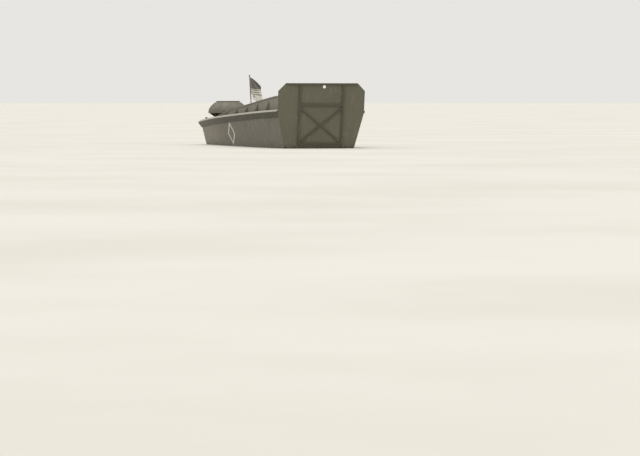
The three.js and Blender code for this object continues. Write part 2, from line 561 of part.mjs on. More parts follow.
// Sheave blocks for the ramp's lifting cables, on the forward ends of the coamings.
function rampSheave(side) {
  const { x0, x1, radius, groove, half, cheek, foot, lift } = SHEAVE;
  const [z0, z1] = [coamingTop(x0) + GAP, coamingTop(x1) + GAP];
  const x = (x0 + x1) / 2;
  const axle = z1 + lift;
  const base = prism("y", [[x0, z0], [x1, z1], [x1, z1 + foot], [x0, z0 + foot]], -half, half);
  const sideOutline = [[x0 + 10, z0 + 4], [x1 - 10, z1 + 4], [x + 30, axle + 30], [x - 30, axle + 30]];
  const plates = [-half, half - cheek].map((y) => prism("y", sideOutline, y, y + cheek));
  const wheel = join(
    bar("y", radius, -11, -6, [x, axle], 20),
    bar("y", groove, -7, 7, [x, axle], 20),
    bar("y", radius, 6, 11, [x, axle], 20),
    bar("y", 12, -half - 4, half + 4, [x, axle]),
  );
  return join(base, ...plates, wheel).translate(0, side * (section(x).yW + COAMING.plate / 2), 0);
}
for (const [name, side] of SIDES) add("ramp_sheave_" + name, rampSheave(side), IRON);

// Engine with its bearers, its box and the box's lid, hinged along its port edge.
function engine() {
  const { x0, x1, half, low, top } = ENGINE;
  const bearers = SIDES.map(([, side]) => {
    const y = side * BEARER.y;
    return box(x0 - BEARER.past, x1 + BEARER.past, y - BEARER.half, y + BEARER.half, BEARER.low, BEARER.top);
  });
  return common(join(box(x0, x1, -half, half, low, top), ...bearers), inside);
}
function engineBox() {
  const { x0, x1, half, wall, top } = ENGINE_BOX;
  const hollow = box(x0 + wall, x1 - wall, -half + wall, half - wall, 0, top + 10);
  return cut(box(x0, x1, -half, half, FLOOR_TOP + GAP, top), hollow);
}
function engineLid() {
  const { x0, x1, half, top } = ENGINE_BOX;
  const { lap, thick, lip, edge, portEdge, lipEnd } = LID;
  const [aft, fore, out] = [x0 - lap, x1 + lap, -half - lap];
  const [low, high] = [top + GAP, top + GAP + thick];
  const pin = [half + LID_PIN.out, top + LID_PIN.lift];
  return join(
    box(aft, fore, out, half + portEdge, low, high),
    box(aft, aft + edge, out, half - lipEnd, low - lip, high),
    box(fore - edge, fore, out, half - lipEnd, low - lip, high),
    box(aft, fore, out, out + edge, low - lip, high),
    bar("x", LID_PIN.radius, x0 + LID_PIN.near, x0 + LID_PIN.far, pin),
    bar("x", LID_PIN.radius, x1 - LID_PIN.far, x1 - LID_PIN.near, pin),
  );
}
add("engine", engine(), IRON);
add("engine_box", engineBox(), HULL_GREY);
add("engine_box_lid", engineLid(), HULL_GREY);

// Steering pedestal and wheel, to port in the cockpit.
function pedestal() {
  const { y, z, aftX, foreX, half, wall } = HELM;
  const [brow, desk] = [z + 90, z - 20];
  const outline = [[aftX, FLOOR_TOP + GAP], [foreX, FLOOR_TOP + GAP], [foreX, desk], [aftX + 90, brow],
    [aftX, brow]];
  const hollow = [[aftX + wall, 0], [foreX - wall, 0], [foreX - wall, desk - 6], [aftX + 84, brow - 18],
    [aftX + wall, brow - 18]];
  return cut(prism("y", outline, y - half, y + half), prism("y", hollow, y - half + wall, y + half - wall),
    bar("x", WHEEL.shaft + SHAFT.run, aftX - 20, aftX + 30, [y, z]));
}
function steeringWheel() {
  const { y, z, aftX, wheelX, ring } = HELM;
  const rim = new THREE.TorusGeometry(ring, WHEEL.tube, 6, 24).rotateY(Math.PI / 2);
  const spokes = Array.from({ length: WHEEL.spokes }, (_, i) => {
    const spoke = new THREE.CylinderGeometry(11, 13, ring + 2, 6).translate(0, (ring + 2) / 2, 0);
    return spoke.rotateX((i * 2 * Math.PI) / WHEEL.spokes);
  });
  const hub = bar("x", WHEEL.hub, -WHEEL.hubHalf, WHEEL.hubHalf, [0, 0]);
  const shaft = bar("x", WHEEL.shaft, 0, aftX - wheelX + 40, [0, 0]);
  return join(rim, ...spokes, hub, shaft).translate(wheelX, y, z);
}
add("steering_pedestal", pedestal(), HULL_GREY);
add("steering_wheel", steeringWheel(), WOOD);

// Ramp winch, to starboard in the cockpit, with a hand crank on its inboard side.
function winchFrame() {
  const { x, y, z, wide, cheek, foot, head } = WINCH;
  const low = FLOOR_TOP + GAP;
  const half = wide / 2;
  const outline = [[x - foot, low], [x + foot, low], [x + head, z + 50], [x - head, z + 50]];
  const plate = (from) => cut(prism("y", outline, from, from + cheek),
    bar("y", CRANK.shaft + SHAFT.run, from - 5, from + cheek + 5, [x, z]));
  return join(
    box(x - foot, x + foot, y - half - cheek, y + half + cheek, low, low + 14),
    plate(y - half - cheek),
    plate(y + half),
    bar("y", 12, y - half - 2, y + half + 2, [x, z - 330]),
  );
}
function winchDrum() {
  const { x, y, z, wide, cheek, drum, flange } = WINCH;
  const half = wide / 2 - 8;
  const arm = y + wide / 2 + cheek + 8;
  return join(
    bar("y", drum, y - half, y + half, [x, z], 20),
    bar("y", flange, y - half, y - half + 8, [x, z], 24),
    bar("y", flange, y + half - 8, y + half, [x, z], 24),
    bar("y", CRANK.shaft, y - half - cheek - 22, arm + 20, [x, z]),
    box(x - 18, x + 18, arm, arm + CRANK.arm, z - 22, z + CRANK.long + 20),
    bar("y", CRANK.grip, arm, arm + CRANK.handle, [x, z + CRANK.long]),
  );
}
add("winch_frame", winchFrame(), STEEL_GREY);
add("winch_drum", winchDrum(), IRON);

// Propeller with its shaft, and the rudder with its stock and tiller.
function propeller() {
  const blades = Array.from({ length: PROP.blades }, (_, i) => {
    const blade = prism("x", BLADE.map(([r, w]) => [w, r]), -PROP.blade / 2, PROP.blade / 2);
    return blade.rotateZ(THREE.MathUtils.degToRad(-PROP.pitch)).rotateX((i * 2 * Math.PI) / PROP.blades);
  });
  const hub = prism("x", circle(PROP.hub, 16), -PROP.hubLong / 2, PROP.hubLong / 2);
  const nut = new THREE.CylinderGeometry(44, 14, 62, 16).rotateZ(-Math.PI / 2).translate(-104, 0, 0);
  const shaft = bar("x", SHAFT.radius, 60, SHAFT.fore, [0, 0]);
  return join(hub, nut, shaft, ...blades).rotateY(-SHAFT.slope).translate(PROP.x, 0, PROP.z);
}
function rudder() {
  const { lead, trail, top, bottom, half } = RUDDER;
  const upper = [[lead, 0], [lead - 30, half - 7], [STOCK.x, half], [trail, 6]];
  const aerofoil = [...upper, ...upper.slice(1).map(([x, y]) => [x, -y]).reverse()];
  return join(
    prism("z", aerofoil, bottom, top),
    bar("z", STOCK.radius, bottom + 4, STOCK.top, [STOCK.x, 0]),
    bar("z", STOCK.pintle, KEEL.heelTop - STOCK.deep, bottom + 20, [STOCK.x, 0]),
    box(STOCK.x - 40, STOCK.x + TILLER.long, -TILLER.half, TILLER.half, TILLER.low, TILLER.high),
    bar("z", TILLER.boss, TILLER.low - 10, TILLER.high + 10, [STOCK.x, 0]),
  );
}
add("propeller", propeller(), BRONZE);
add("rudder", rudder(), IRON);

// Stern hatch lid, hinged along its aft edge.
function sternLid() {
  const { x0, x1, half, frame, top, lid, lap, clear } = HATCH;
  const low = top + GAP;
  const out = frame + lap;
  const skirt = low - 22;
  const pin = [x0 - frame - HATCH_PIN.out, low + HATCH_PIN.lift];
  return join(
    box(x0 - frame - 6, x1 + out, -half - out, half + out, low, low + lid),
    box(x1 + frame + clear, x1 + out, -half - out, half + out, skirt, low + lid),
    box(x0, x1 + out, -half - out, -half - frame - clear, skirt, low + lid),
    box(x0, x1 + out, half + frame + clear, half + out, skirt, low + lid),
    bar("y", HATCH_PIN.radius, -HATCH_PIN.far, -HATCH_PIN.near, pin),
    bar("y", HATCH_PIN.radius, HATCH_PIN.near, HATCH_PIN.far, pin),
  );
}
add("stern_hatch_lid", sternLid(), HULL_GREY);

// Towing post and cleats.
function towingPost() {
  const { x, radius, high, pad, bar: reach } = TOW;
  const foot = deckZ(x);
  return join(
    deckPad(x - pad, x + pad, pad, 16),
    bar("z", radius, foot + 8, foot + high, [x, 0]),
    bar("z", radius + 10, foot + high - 2, foot + high + 14, [x, 0]),
    bar("y", 15, -reach, reach, [x, foot + high - 80]),
  );
}
function cleat(side) {
  const { x, y, pad, horn, high } = CLEAT;
  const foot = deckZ(x);
  const legs = [-40, 40].map((dx) => bar("z", 20, foot + 6, foot + high - 5, [x + dx, 0]));
  const horns = bar("x", 19, x - horn, x + horn, [0, foot + high]);
  return join(deckPad(x - pad, x + pad, 40, 12), ...legs, horns).translate(0, side * y, 0);
}
add("towing_post", towingPost(), IRON);
for (const [name, side] of SIDES) add("stern_cleat_" + name, cleat(side), IRON);

// Ensign staff, leaning aft from the forward edge of the stern deck, and the ensign hanging to port of it.
const foot = deckZ(STAFF.x);
const shiftX = STAFF.x + foot * STAFF.lean; // where the leaning line would meet Z = 0
const lean = new THREE.Matrix4().makeShear(0, 0, 0, 0, -STAFF.lean, 0);
const leaning = (radius, from, to) => bar("z", radius, from, to, [shiftX, 0]).applyMatrix4(lean);
function staff() {
  return join(
    deckPad(STAFF.x - 55, STAFF.x + 55, 50, 10),
    leaning(STAFF.socket, foot + 4, foot + 150),
    leaning(STAFF.radius, foot + 60, STAFF.top - 30),
    leaning(STAFF.socket, STAFF.top - 34, STAFF.top),
  );
}
function ensign() {
  const { low, high, near, far, thick, wave, folds, steps } = ENSIGN;
  const line = Array.from({ length: steps + 1 }, (_, i) => {
    const t = i / steps;
    return [shiftX + wave * Math.sin(t * folds * 2 * Math.PI), near + (far - near) * t];
  });
  const face = (offset) => line.map(([x, y]) => [x + offset, y]);
  return prism("z", [...face(-thick / 2), ...face(thick / 2).reverse()], low, high).applyMatrix4(lean);
}
add("ensign_staff", staff(), WOOD);
add("ensign", ensign(), CLOTH);

export default craft;
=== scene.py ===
import itertools
import math
import random

import bmesh
import bpy
from mathutils import Matrix, Vector
from mathutils.bvhtree import BVHTree


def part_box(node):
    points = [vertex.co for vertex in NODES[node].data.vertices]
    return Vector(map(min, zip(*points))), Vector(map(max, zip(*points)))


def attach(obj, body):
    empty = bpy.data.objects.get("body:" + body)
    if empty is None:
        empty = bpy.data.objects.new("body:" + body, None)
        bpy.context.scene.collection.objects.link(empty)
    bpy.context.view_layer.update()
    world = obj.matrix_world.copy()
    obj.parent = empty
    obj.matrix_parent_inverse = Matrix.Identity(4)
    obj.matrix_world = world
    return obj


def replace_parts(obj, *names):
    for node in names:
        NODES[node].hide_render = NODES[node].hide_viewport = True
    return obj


# A landing craft afloat at its light waterline, z = 0. Metres; +X is forward, +Y to port, +Z up.
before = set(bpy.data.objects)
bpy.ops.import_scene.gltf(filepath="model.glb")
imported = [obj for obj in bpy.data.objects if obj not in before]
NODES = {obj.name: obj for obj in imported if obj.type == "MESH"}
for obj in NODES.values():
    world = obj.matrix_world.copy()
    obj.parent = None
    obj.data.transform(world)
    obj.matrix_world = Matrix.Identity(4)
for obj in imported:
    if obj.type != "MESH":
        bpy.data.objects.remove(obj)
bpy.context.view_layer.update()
random.seed(36)

SIDES = {"starboard": -1, "port": 1}
AHEAD, ACROSS, UP = Vector((1, 0, 0)), Vector((0, 1, 0)), Vector((0, 0, 1))

# Camera, fitted to the photograph's 640 by 456 pixels: its focal length and the bow's column are in pixels.
PHOTO = {"width": 640, "height": 456, "focal": 3175, "horizon_row": 102, "bow_column": 321.03}
VIEWPOINT = {"bow_x": 5.3, "distance": 100, "bearing": math.radians(14.77), "height": 1.464}
CLIP = (1, 6000)


def placed(name, data):
    """A new object of that data, linked to the scene."""
    made = bpy.data.objects.new(name, data)
    bpy.context.scene.collection.objects.link(made)
    return made


def make_camera():
    """The photograph's viewpoint and lens."""
    data = bpy.data.cameras.new("camera")
    data.sensor_width = 36
    data.lens = PHOTO["focal"] * data.sensor_width / PHOTO["width"]
    data.clip_start, data.clip_end = CLIP
    camera = placed("camera", data)
    bearing, away = VIEWPOINT["bearing"], VIEWPOINT["distance"]
    ahead = VIEWPOINT["bow_x"] + away * math.cos(bearing)
    camera.location = (ahead, -away * math.sin(bearing), VIEWPOINT["height"])
    pitch = math.atan((PHOTO["height"] / 2 - PHOTO["horizon_row"]) / PHOTO["focal"])
    turn = math.atan((PHOTO["bow_column"] - PHOTO["width"] / 2) / PHOTO["focal"])
    camera.rotation_euler = (math.pi / 2 - pitch, 0, math.pi / 2 - bearing + turn)
    bpy.context.scene.camera = camera


make_camera()


def caster(*names):
    """A function that gives the (point, normal) where a ray first meets these CAD nodes, or None."""
    trees = []
    for name in names:
        mesh = NODES[name].data
        corners = [v.co.copy() for v in mesh.vertices]
        trees.append(BVHTree.FromPolygons(corners, [tuple(p.vertices) for p in mesh.polygons]))

    def cast(origin, direction):
        hits = [tree.ray_cast(Vector(origin), Vector(direction)) for tree in trees]
        hits = [hit for hit in hits if hit[0] is not None]
        return min(hits, key=lambda hit: hit[3])[:2] if hits else None

    return cast


def steps(start, end, pitch):
    """Places from start to end, evenly spaced at about that pitch."""
    count = max(1, round(abs(end - start) / pitch))
    return [start + (end - start) * i / count for i in range(count + 1)]


def circle(count, shift=0.0):
    """The cosine and sine of each of evenly spaced angles, the first one that share of a step round."""
    angles = [2 * math.pi * (i + shift) / count for i in range(count)]
    return [(math.cos(a), math.sin(a)) for a in angles]


def around(centre, first, second, count, shift=0.0):
    """Points round a circle, whose radii at nought and a quarter turn are these vectors."""
    return [Vector(centre) + first * cos + second * sin for cos, sin in circle(count, shift)]


def four(a, b):
    """The corners of a rectangle round nought, from its half sizes."""
    return [(-a, -b), (-a, b), (a, -b), (a, b)]


def grid(xs, ys, zs):
    """Every point with one of each of these coordinates, each of which is one number or several."""
    several = [v if isinstance(v, (list, tuple)) else [v] for v in (xs, ys, zs)]
    return [Vector(p) for p in itertools.product(*several)]


def blended(table, x, eased=False):
    """The last columns of a table at x, its first column: straight between rows, or eased to flat at each."""
    for (x0, *low), (x1, *high) in zip(table, table[1:]):
        if x <= x1 or x1 == table[-1][0]:
            t = (x - x0) / (x1 - x0)
            t = 0.5 - 0.5 * math.cos(math.pi * t) if eased else t
            return [a + (b - a) * t for a, b in zip(low, high)]


def to_object(mesh, name, material):
    """An object of that mesh, which is freed, with one material."""
    data = bpy.data.meshes.new(name)
    mesh.to_mesh(data)
    mesh.free()
    data.materials.append(material)
    return placed(name, data)


CREASE = math.radians(35)  # edges sharper than this are shaded as edges


class Piece:
    """One piece: its shapes are gathered into one mesh, with one finish, on one body."""

    def __init__(self, name, finish, body="hull"):
        self.name, self.finish, self.body = name, finish, body
        self.mesh = bmesh.new()

    def loft(self, rings, closed=False):
        """A skin through rings of points, each ring going round; its ends are capped unless it is closed."""
        made = [self.mesh.verts.new(p) for ring in rings for p in ring]
        count = len(rings[0])
        faces = []
        for r in range(len(rings) if closed else len(rings) - 1):
            a, b = r * count, (r + 1) % len(rings) * count
            for k in range(count):
                n = (k + 1) % count
                faces.append((a + k, a + n, b + n, b + k))
        if not closed:
            faces.append(tuple(reversed(range(count))))
            faces.append(tuple(range(len(made) - count, len(made))))
        for face in faces:
            self.mesh.faces.new([made[i] for i in face])

    def block(self, middle, size, along=AHEAD, up=UP):
        """A straight block: its size along, across and up."""
        along, up = Vector(along).normalized(), Vector(up).normalized()
        across = up.cross(along).normalized()
        up = along.cross(across)
        half = [s / 2 for s in size]
        rings = []
        for end in (-1, 1):
            centre = Vector(middle) + along * half[0] * end
            turns = ((-1, -1), (1, -1), (1, 1), (-1, 1))
            rings.append([centre + across * half[1] * a + up * half[2] * b for a, b in turns])
        self.loft(rings)

    def prism(self, outline, depth):
        """A flat outline of points, made solid by a step along the depth vector."""
        self.loft([[Vector(p) for p in outline], [Vector(p) + Vector(depth) for p in outline]])

    def turned(self, centre, axis, profile, sides=24, closed=False):
        """A profile of (radius, distance along the axis) turned about the axis."""
        axis = Vector(axis).normalized()
        side = axis.orthogonal().normalized()
        other = axis.cross(side)
        rings = []
        for radius, rise in profile:
            rings.append(around(Vector(centre) + axis * rise, side * radius, other * radius, sides))
        self.loft(rings, closed)

    def rod(self, start, end, radius, sides=12, tip=None):
        """A round rod with softened ends, tapered where a tip radius is given."""
        start, end = Vector(start), Vector(end)
        long = (end - start).length
        soft = min(radius * 0.25, long * 0.2)
        last = radius if tip is None else tip
        profile = [(radius - soft, 0), (radius, soft), (last, long - soft), (last - soft, long)]
        self.turned(start, end - start, profile, sides)

    def ring(self, centre, axis, radius, thick, sides=32, section=8):
        """A round ring of round section."""
        profile = [(radius + thick * cos, thick * sin) for cos, sin in circle(section)]
        self.turned(centre, axis, profile, sides, closed=True)

    def tube(self, points, radius, sides=8, closed=False):
        """A round tube along points."""
        points = [Vector(p) for p in points]
        rings, side = [], None
        last = len(points) - 1
        for i, point in enumerate(points):
            before = points[i - 1] if i or closed else point
            after = points[(i + 1) % len(points)] if i < last or closed else point
            along = (after - before).normalized()
            side = along.orthogonal() if side is None else side - along * side.dot(along)
            side.normalize()
            rings.append(around(point, side * radius, along.cross(side) * radius, sides))
        self.loft(rings, closed)

    def head(self, point, normal, radius, rise, sides=8):
        """A low round head, as of a screw, a rivet or a coach bolt."""
        profile = [(radius, rise * -0.4), (radius * 0.98, rise * 0.35), (radius * 0.7, rise * 0.85),
                   (radius * 0.25, rise)]
        self.turned(point, normal, profile, sides)

    def heads(self, points, normal, *size):
        """A head at each point."""
        for point in points:
            self.head(point, normal, *size)

    def pin(self, hit, *size):
        """A head where a ray has met a face, if it has."""
        if hit:
            self.head(*hit, *size)

    def nut(self, point, normal, across, rise):
        """A hexagonal nut on its washer, with the bolt's end."""
        washer, nut, bolt = across * 0.95, across * 0.56, across * 0.28
        self.turned(point, normal, [(washer, -0.001), (washer, 0.0015)], 12)
        self.turned(point, normal, [(nut, 0), (nut, rise * 0.8), (across * 0.46, rise)], 6)
        self.turned(point, normal, [(bolt, 0), (bolt, rise * 1.35)], 8)

    def nuts(self, points, normal, across, rise):
        """A nut at each point."""
        for point in points:
            self.nut(point, normal, across, rise)

    def make(self):
        """The piece's object: shaded smooth between creases, and linked to its body."""
        bmesh.ops.recalc_face_normals(self.mesh, faces=self.mesh.faces)
        for face in self.mesh.faces:
            face.smooth = True
        for edge in self.mesh.edges:
            edge.smooth = not (edge.is_manifold and edge.calc_face_angle() > CREASE)
        made = to_object(self.mesh, self.name, FINISH[self.finish])
        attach(made, self.body)
        return made


def make(*pieces):
    """Makes each piece's object."""
    for piece in pieces:
        piece.make()


# Heads of screws, rivets and bolts: radius, rise and, where it isn't 8, how many sides.
SCREW = (0.006, 0.0012, 6)
RAIL_BOLT = (0.013, 0.003, 12)
RIVET, SMALL_RIVET, PLATE_RIVET = (0.007, 0.003), (0.006, 0.003), (0.008, 0.004)
TRIM_SCREW = (0.006, 0.0025)


def colour(red, green, blue):
    """A colour as a share of light, given as it shows on a screen, 0 to 255."""
    shares = []
    for value in (red, green, blue):
        v = value / 255
        shares.append(v / 12.92 if v <= 0.04045 else ((v + 0.055) / 1.055) ** 2.4)
    return (*shares, 1.0)


def shaded(tone, share):
    """A tone made darker or lighter by that share."""
    return (*(min(c * share, 1.0) for c in tone[:3]), 1.0)


def stretched(axis, across, along):
    """A texture's scale on each axis, coarser along one of them."""
    return [along if i == axis else across for i in range(3)]


class Shader:
    """One material's nodes. Lengths are in metres, at the place on the object."""

    def __init__(self, name, base):
        self.material = bpy.data.materials.new(name)
        self.material.use_nodes = True
        self.tree = self.material.node_tree
        self.tree.nodes.clear()
        self.surface = self.tree.nodes.new("ShaderNodeBsdfPrincipled")
        output = self.tree.nodes.new("ShaderNodeOutputMaterial")
        self.tree.links.new(self.surface.outputs["BSDF"], output.inputs["Surface"])
        self.base = base
        self.place = self.tree.nodes.new("ShaderNodeTexCoord").outputs["Object"]
        self.parts = self.node("SeparateXYZ", self.place).outputs
        self.facing = self.node("SeparateXYZ", self.node("NewGeometry").outputs["Normal"]).outputs

    def node(self, kind, *values, **settings):
        """A new node with these settings, its first inputs set or linked to these values."""
        made = self.tree.nodes.new("ShaderNode" + kind)
        for key, value in settings.items():
            setattr(made, key, value)
        for socket, value in zip(made.inputs, values):
            self.put(socket, value)
        return made

    def put(self, socket, value):
        if isinstance(value, bpy.types.NodeSocket):
            self.tree.links.new(value, socket)
        elif value is not None:
            socket.default_value = value

    def math(self, operation, *values):
        return self.node("Math", *values, operation=operation).outputs[0]

    def times(self, first, *others):
        for other in others:
            first = self.math("MULTIPLY", first, other)
        return first

    def band(self, value, low, high, to_low=0.0, to_high=1.0):
        """Eases from one value to another as its input goes from low to high."""
        made = self.node("MapRange", value, low, high, to_low, to_high, interpolation_type="SMOOTHSTEP")
        return made.outputs[0]

    def noise(self, scale, stretch=(1, 1, 1), detail=4.0, rough=0.55, shift=0.0):
        """Noise, its places stretched on each axis and shifted."""
        made = self.node("Mapping", self.place, vector_type="POINT")
        made.inputs["Scale"].default_value = stretch
        made.inputs["Location"].default_value = (shift, shift * 0.7, shift * 1.3)
        texture = self.node("TexNoise", noise_dimensions="3D")
        self.put(texture.inputs["Vector"], made.outputs[0])
        for name, value in (("Scale", scale), ("Detail", detail), ("Roughness", rough)):
            self.put(texture.inputs[name], value)
        return texture.outputs[0]

    def mix(self, factor, a, b):
        """Colour a where the factor is 0, and b where it is 1."""
        made = self.node("Mix", data_type="RGBA", blend_type="MIX")
        for index, value in ((0, factor), (6, a), (7, b)):
            self.put(made.inputs[index], value)
        return made.outputs[2]

    def coat(self, share, tone, strength=None):
        """Lays a tone over the base colour, where and as far as the share says."""
        self.base = self.mix(share if strength is None else self.times(share, strength), self.base, tone)

    def edges(self, radius):
        """1 along edges and 0 on flats."""
        rounded = self.node("Bevel", radius, samples=4).outputs[0]
        true = self.node("NewGeometry").outputs["Normal"]
        same = self.node("VectorMath", rounded, true, operation="DOT_PRODUCT").outputs["Value"]
        return self.band(same, 0.995, 0.88)

    def corners(self, reach):
        """1 deep in corners and 0 in the open, from ambient occlusion: colour laid by it is painted shade."""
        shut = self.node("AmbientOcclusion", samples=4)
        self.put(shut.inputs["Distance"], reach)
        return self.band(shut.outputs["AO"], 0.95, 0.35)

    def bumps(self, *layers, radius=0.0):
        """Bump from (height, depth in metres) layers, over softened edges where a radius is given."""
        normal = self.node("Bevel", radius, samples=4).outputs[0] if radius else None
        for height, depth in layers:
            made = self.node("Bump")
            made.inputs["Strength"].default_value = 1.0
            made.inputs["Distance"].default_value = depth
            self.put(made.inputs["Height"], height)
            self.put(made.inputs["Normal"], normal)
            normal = made.outputs[0]
        self.put(self.surface.inputs["Normal"], normal)

    def finish(self, rough, metal=0.0):
        """The material, with its base colour as laid so far."""
        for name, value in (("Base Color", self.base), ("Roughness", rough), ("Metallic", metal)):
            self.put(self.surface.inputs[name], value)
        return self.material


# GRIME_AND_SHADE is grime's colour in streaks, seams and stains, and also the colour of painted shade in
# corners.
GRIME_AND_SHADE = colour(66, 62, 50)
WEED = colour(70, 70, 50)
SALT = colour(186, 182, 168)
RUST, RUST_PALE = colour(104, 74, 52), colour(134, 104, 78)
TIMBER, TIMBER_DARK = colour(140, 124, 100), colour(84, 72, 56)
PRIMER = colour(120, 112, 96)
IRON_GREY = colour(62, 60, 56)
SPLASH_HEIGHT = 0.16  # the band above the waterline that stays wet and stained


def paint(name, tone, under, *, chips=0.5, streaks=0.5, grain=None, rust=0.0, seams=(), top=None, painted_light_along=None,
          wet=True, gritty=False, scuffs=0.0, corner_shade=0.72):
    """Weathered matt paint over timber or steel. tone is its colour and under what shows where it is worn.
    grain is the way planks or plies run, seams are (axis, first, pitch, width) lines where sheets meet,
    top is the colour of what faces the sky, partly bleached and partly painted light, and painted_light_along
    is (axis, from, to, tint) along the craft, a lightening that is painted light."""
    s = Shader(name, tone)
    mottle = s.noise(5.5, detail=6, rough=0.6, shift=3)
    fine = s.noise(42, detail=5, rough=0.65, shift=7)
    patch = s.noise(1.7, detail=2, shift=11)
    s.coat(s.band(s.noise(0.8, detail=3), 0.3, 0.7, 0.0, 0.55), shaded(tone, 0.80))
    s.coat(s.band(mottle, 0.42, 0.72, 0.0, 0.40), shaded(tone, 1.28))
    s.coat(s.band(fine, 0.35, 0.65, 0.0, 0.16), shaded(tone, 0.62))
    # painted_light_along lightens the tone towards one end of the craft: painted light.
    if painted_light_along:
        axis, start, end, tint = painted_light_along
        s.coat(s.band(s.parts[axis], start, end), s.mix(0.6, s.base, tint))
    # Faces turned to the sky take the lighter top colour: partly bleached paint, partly painted light from
    # above.
    if top:
        bleached_lit_top = s.mix(s.band(mottle, 0.35, 0.7, 0.0, 0.8), top, shaded(top, 0.74))
        s.coat(s.band(s.facing[2], 0.25, 0.75), bleached_lit_top)
    # Streaks run down faces, and gather grime or salt.
    run = s.noise(1, stretch=(17, 17, 0.9), detail=5, rough=0.6)
    upright = s.band(s.math("ABSOLUTE", s.facing[2]), 0.75, 0.35)
    s.coat(s.times(s.band(run, 0.55, 0.74), s.band(patch, 0.40, 0.62), upright), GRIME_AND_SHADE, 0.75 * streaks)
    s.coat(s.times(s.band(run, 0.45, 0.24), s.band(patch, 0.62, 0.36), upright), SALT, 0.45 * streaks)
    # Corners and recesses are darkened by their ambient occlusion, mottled, in grime's colour: painted shade.
    s.coat(s.times(s.corners(0.12), s.band(mottle, 0.25, 0.65, 0.35, 1.0)), GRIME_AND_SHADE, corner_shade)
    # Paint wears through on edges, and in scattered chips.
    edge = s.edges(0.010)
    chipped = s.times(edge, s.band(s.noise(26, detail=5, rough=0.7, shift=5), 0.50 - 0.10 * chips, 0.60))
    specks = s.band(s.noise(13, detail=8, rough=0.75, shift=19), 0.70 - 0.03 * chips, 0.73 - 0.03 * chips)
    worn = s.math("MAXIMUM", chipped, s.times(specks, min(1.0, chips)))
    s.coat(worn, under, 0.85)
    if scuffs:
        scrape = s.noise(1, stretch=(1.6, 9, 26), detail=6, rough=0.7, shift=23)
        s.coat(s.times(s.band(scrape, 0.60, 0.68), s.band(patch, 0.42, 0.6)), under, 0.6 * scuffs)
    if rust:
        bloom = s.band(s.noise(7, detail=8, rough=0.72, shift=31), 0.66 - 0.05 * rust, 0.76)
        weep = s.band(s.noise(1, stretch=(30, 30, 1.2), detail=4, shift=2), 0.60, 0.78)
        weep = s.times(weep, upright, s.band(patch, 0.50, 0.64), 0.6)
        edge_rust = s.times(edge, s.band(mottle, 0.50, 0.62))
        amount = s.math("MAXIMUM", bloom, s.math("MAXIMUM", weep, edge_rust))
        s.coat(amount, s.mix(s.band(fine, 0.35, 0.7), RUST, RUST_PALE), 0.8 * rust)
    rough = s.band(mottle, 0.3, 0.7, 0.56, 0.78)
    if wet:
        wavy = s.math("ADD", s.parts[2], s.times(s.math("SUBTRACT", patch, 0.5), 0.12))
        splash = s.band(wavy, SPLASH_HEIGHT, 0.02)
        s.coat(splash, GRIME_AND_SHADE, 0.50)
        s.coat(s.times(s.band(wavy, 0.04, -0.05), s.band(mottle, 0.3, 0.6, 0.45, 0.9)), WEED)
        rough = s.math("SUBTRACT", rough, s.times(splash, 0.25))
    layers = []
    if grain is not None:
        ply = s.noise(1.6, stretch=stretched(grain, 26.0, 1.1), detail=5, rough=0.6, shift=13)
        layers.append((ply, 0.0012))
        s.coat(s.band(ply, 0.55, 0.75, 0.0, 0.20), shaded(tone, 0.6))
    if gritty:
        layers.append((s.noise(190, detail=2, rough=0.5), 0.0012))
    for axis, first, pitch, width in seams:
        wrapped = s.math("PINGPONG", s.math("SUBTRACT", s.parts[axis], first), pitch / 2)
        gap = s.band(wrapped, width, width * 0.3)
        s.coat(gap, GRIME_AND_SHADE, 0.7)
        layers.append((s.math("SUBTRACT", 1.0, gap), 0.003))
    s.bumps(*layers, (s.math("SUBTRACT", 1.0, worn), 0.0006), (fine, 0.0010), radius=0.004)
    return s.finish(rough)


def timber(name, light, dark, grain=0, wet=False, rough=0.75):
    """Bare or oiled timber, its grain along one axis."""
    s = Shader(name, light)
    stretch = stretched(grain, 20.0, 1.0)
    fibres = s.noise(2.2, stretch=stretch, detail=6, rough=0.6)
    mottle = s.noise(6, detail=5, shift=8)
    s.coat(s.band(fibres, 0.35, 0.68), dark)
    s.coat(s.band(s.noise(0.7, stretch=stretch, detail=3, shift=4), 0.45, 0.62, 0.0, 0.5), dark)
    s.coat(s.band(mottle, 0.50, 0.75, 0.0, 0.5), GRIME_AND_SHADE)
    # Corners are darkened by their ambient occlusion: painted shade.
    s.coat(s.corners(0.08), GRIME_AND_SHADE, 0.7)
    if wet:
        s.coat(s.band(s.parts[2], 0.10, -0.02), WEED, 0.75)
    s.bumps((fibres, 0.0015), radius=0.003)
    return s.finish(s.band(mottle, 0.3, 0.7, rough - 0.12, rough + 0.1))


def worn_metal(name, light, dark, metal, rust=0.3, rough=0.5, stain=RUST):
    """Bare or thinly painted metal."""
    s = Shader(name, light)
    mottle = s.noise(9, detail=6, rough=0.65)
    s.coat(s.band(mottle, 0.3, 0.7), dark)
    s.coat(s.edges(0.006), shaded(light, 2.0), 0.6)
    bloom = s.noise(15, detail=8, rough=0.75, shift=9)
    s.coat(s.band(bloom, 0.60 - 0.1 * rust, 0.72), stain, min(1, rust * 1.6))
    # Corners are darkened by their ambient occlusion: painted shade.
    s.coat(s.corners(0.05), GRIME_AND_SHADE, 0.7)
    s.bumps((s.noise(70, detail=4, rough=0.6, shift=3), 0.0008), (mottle, 0.0008), radius=0.002)
    return s.finish(s.band(mottle, 0.3, 0.7, rough - 0.1, rough + 0.18), metal)


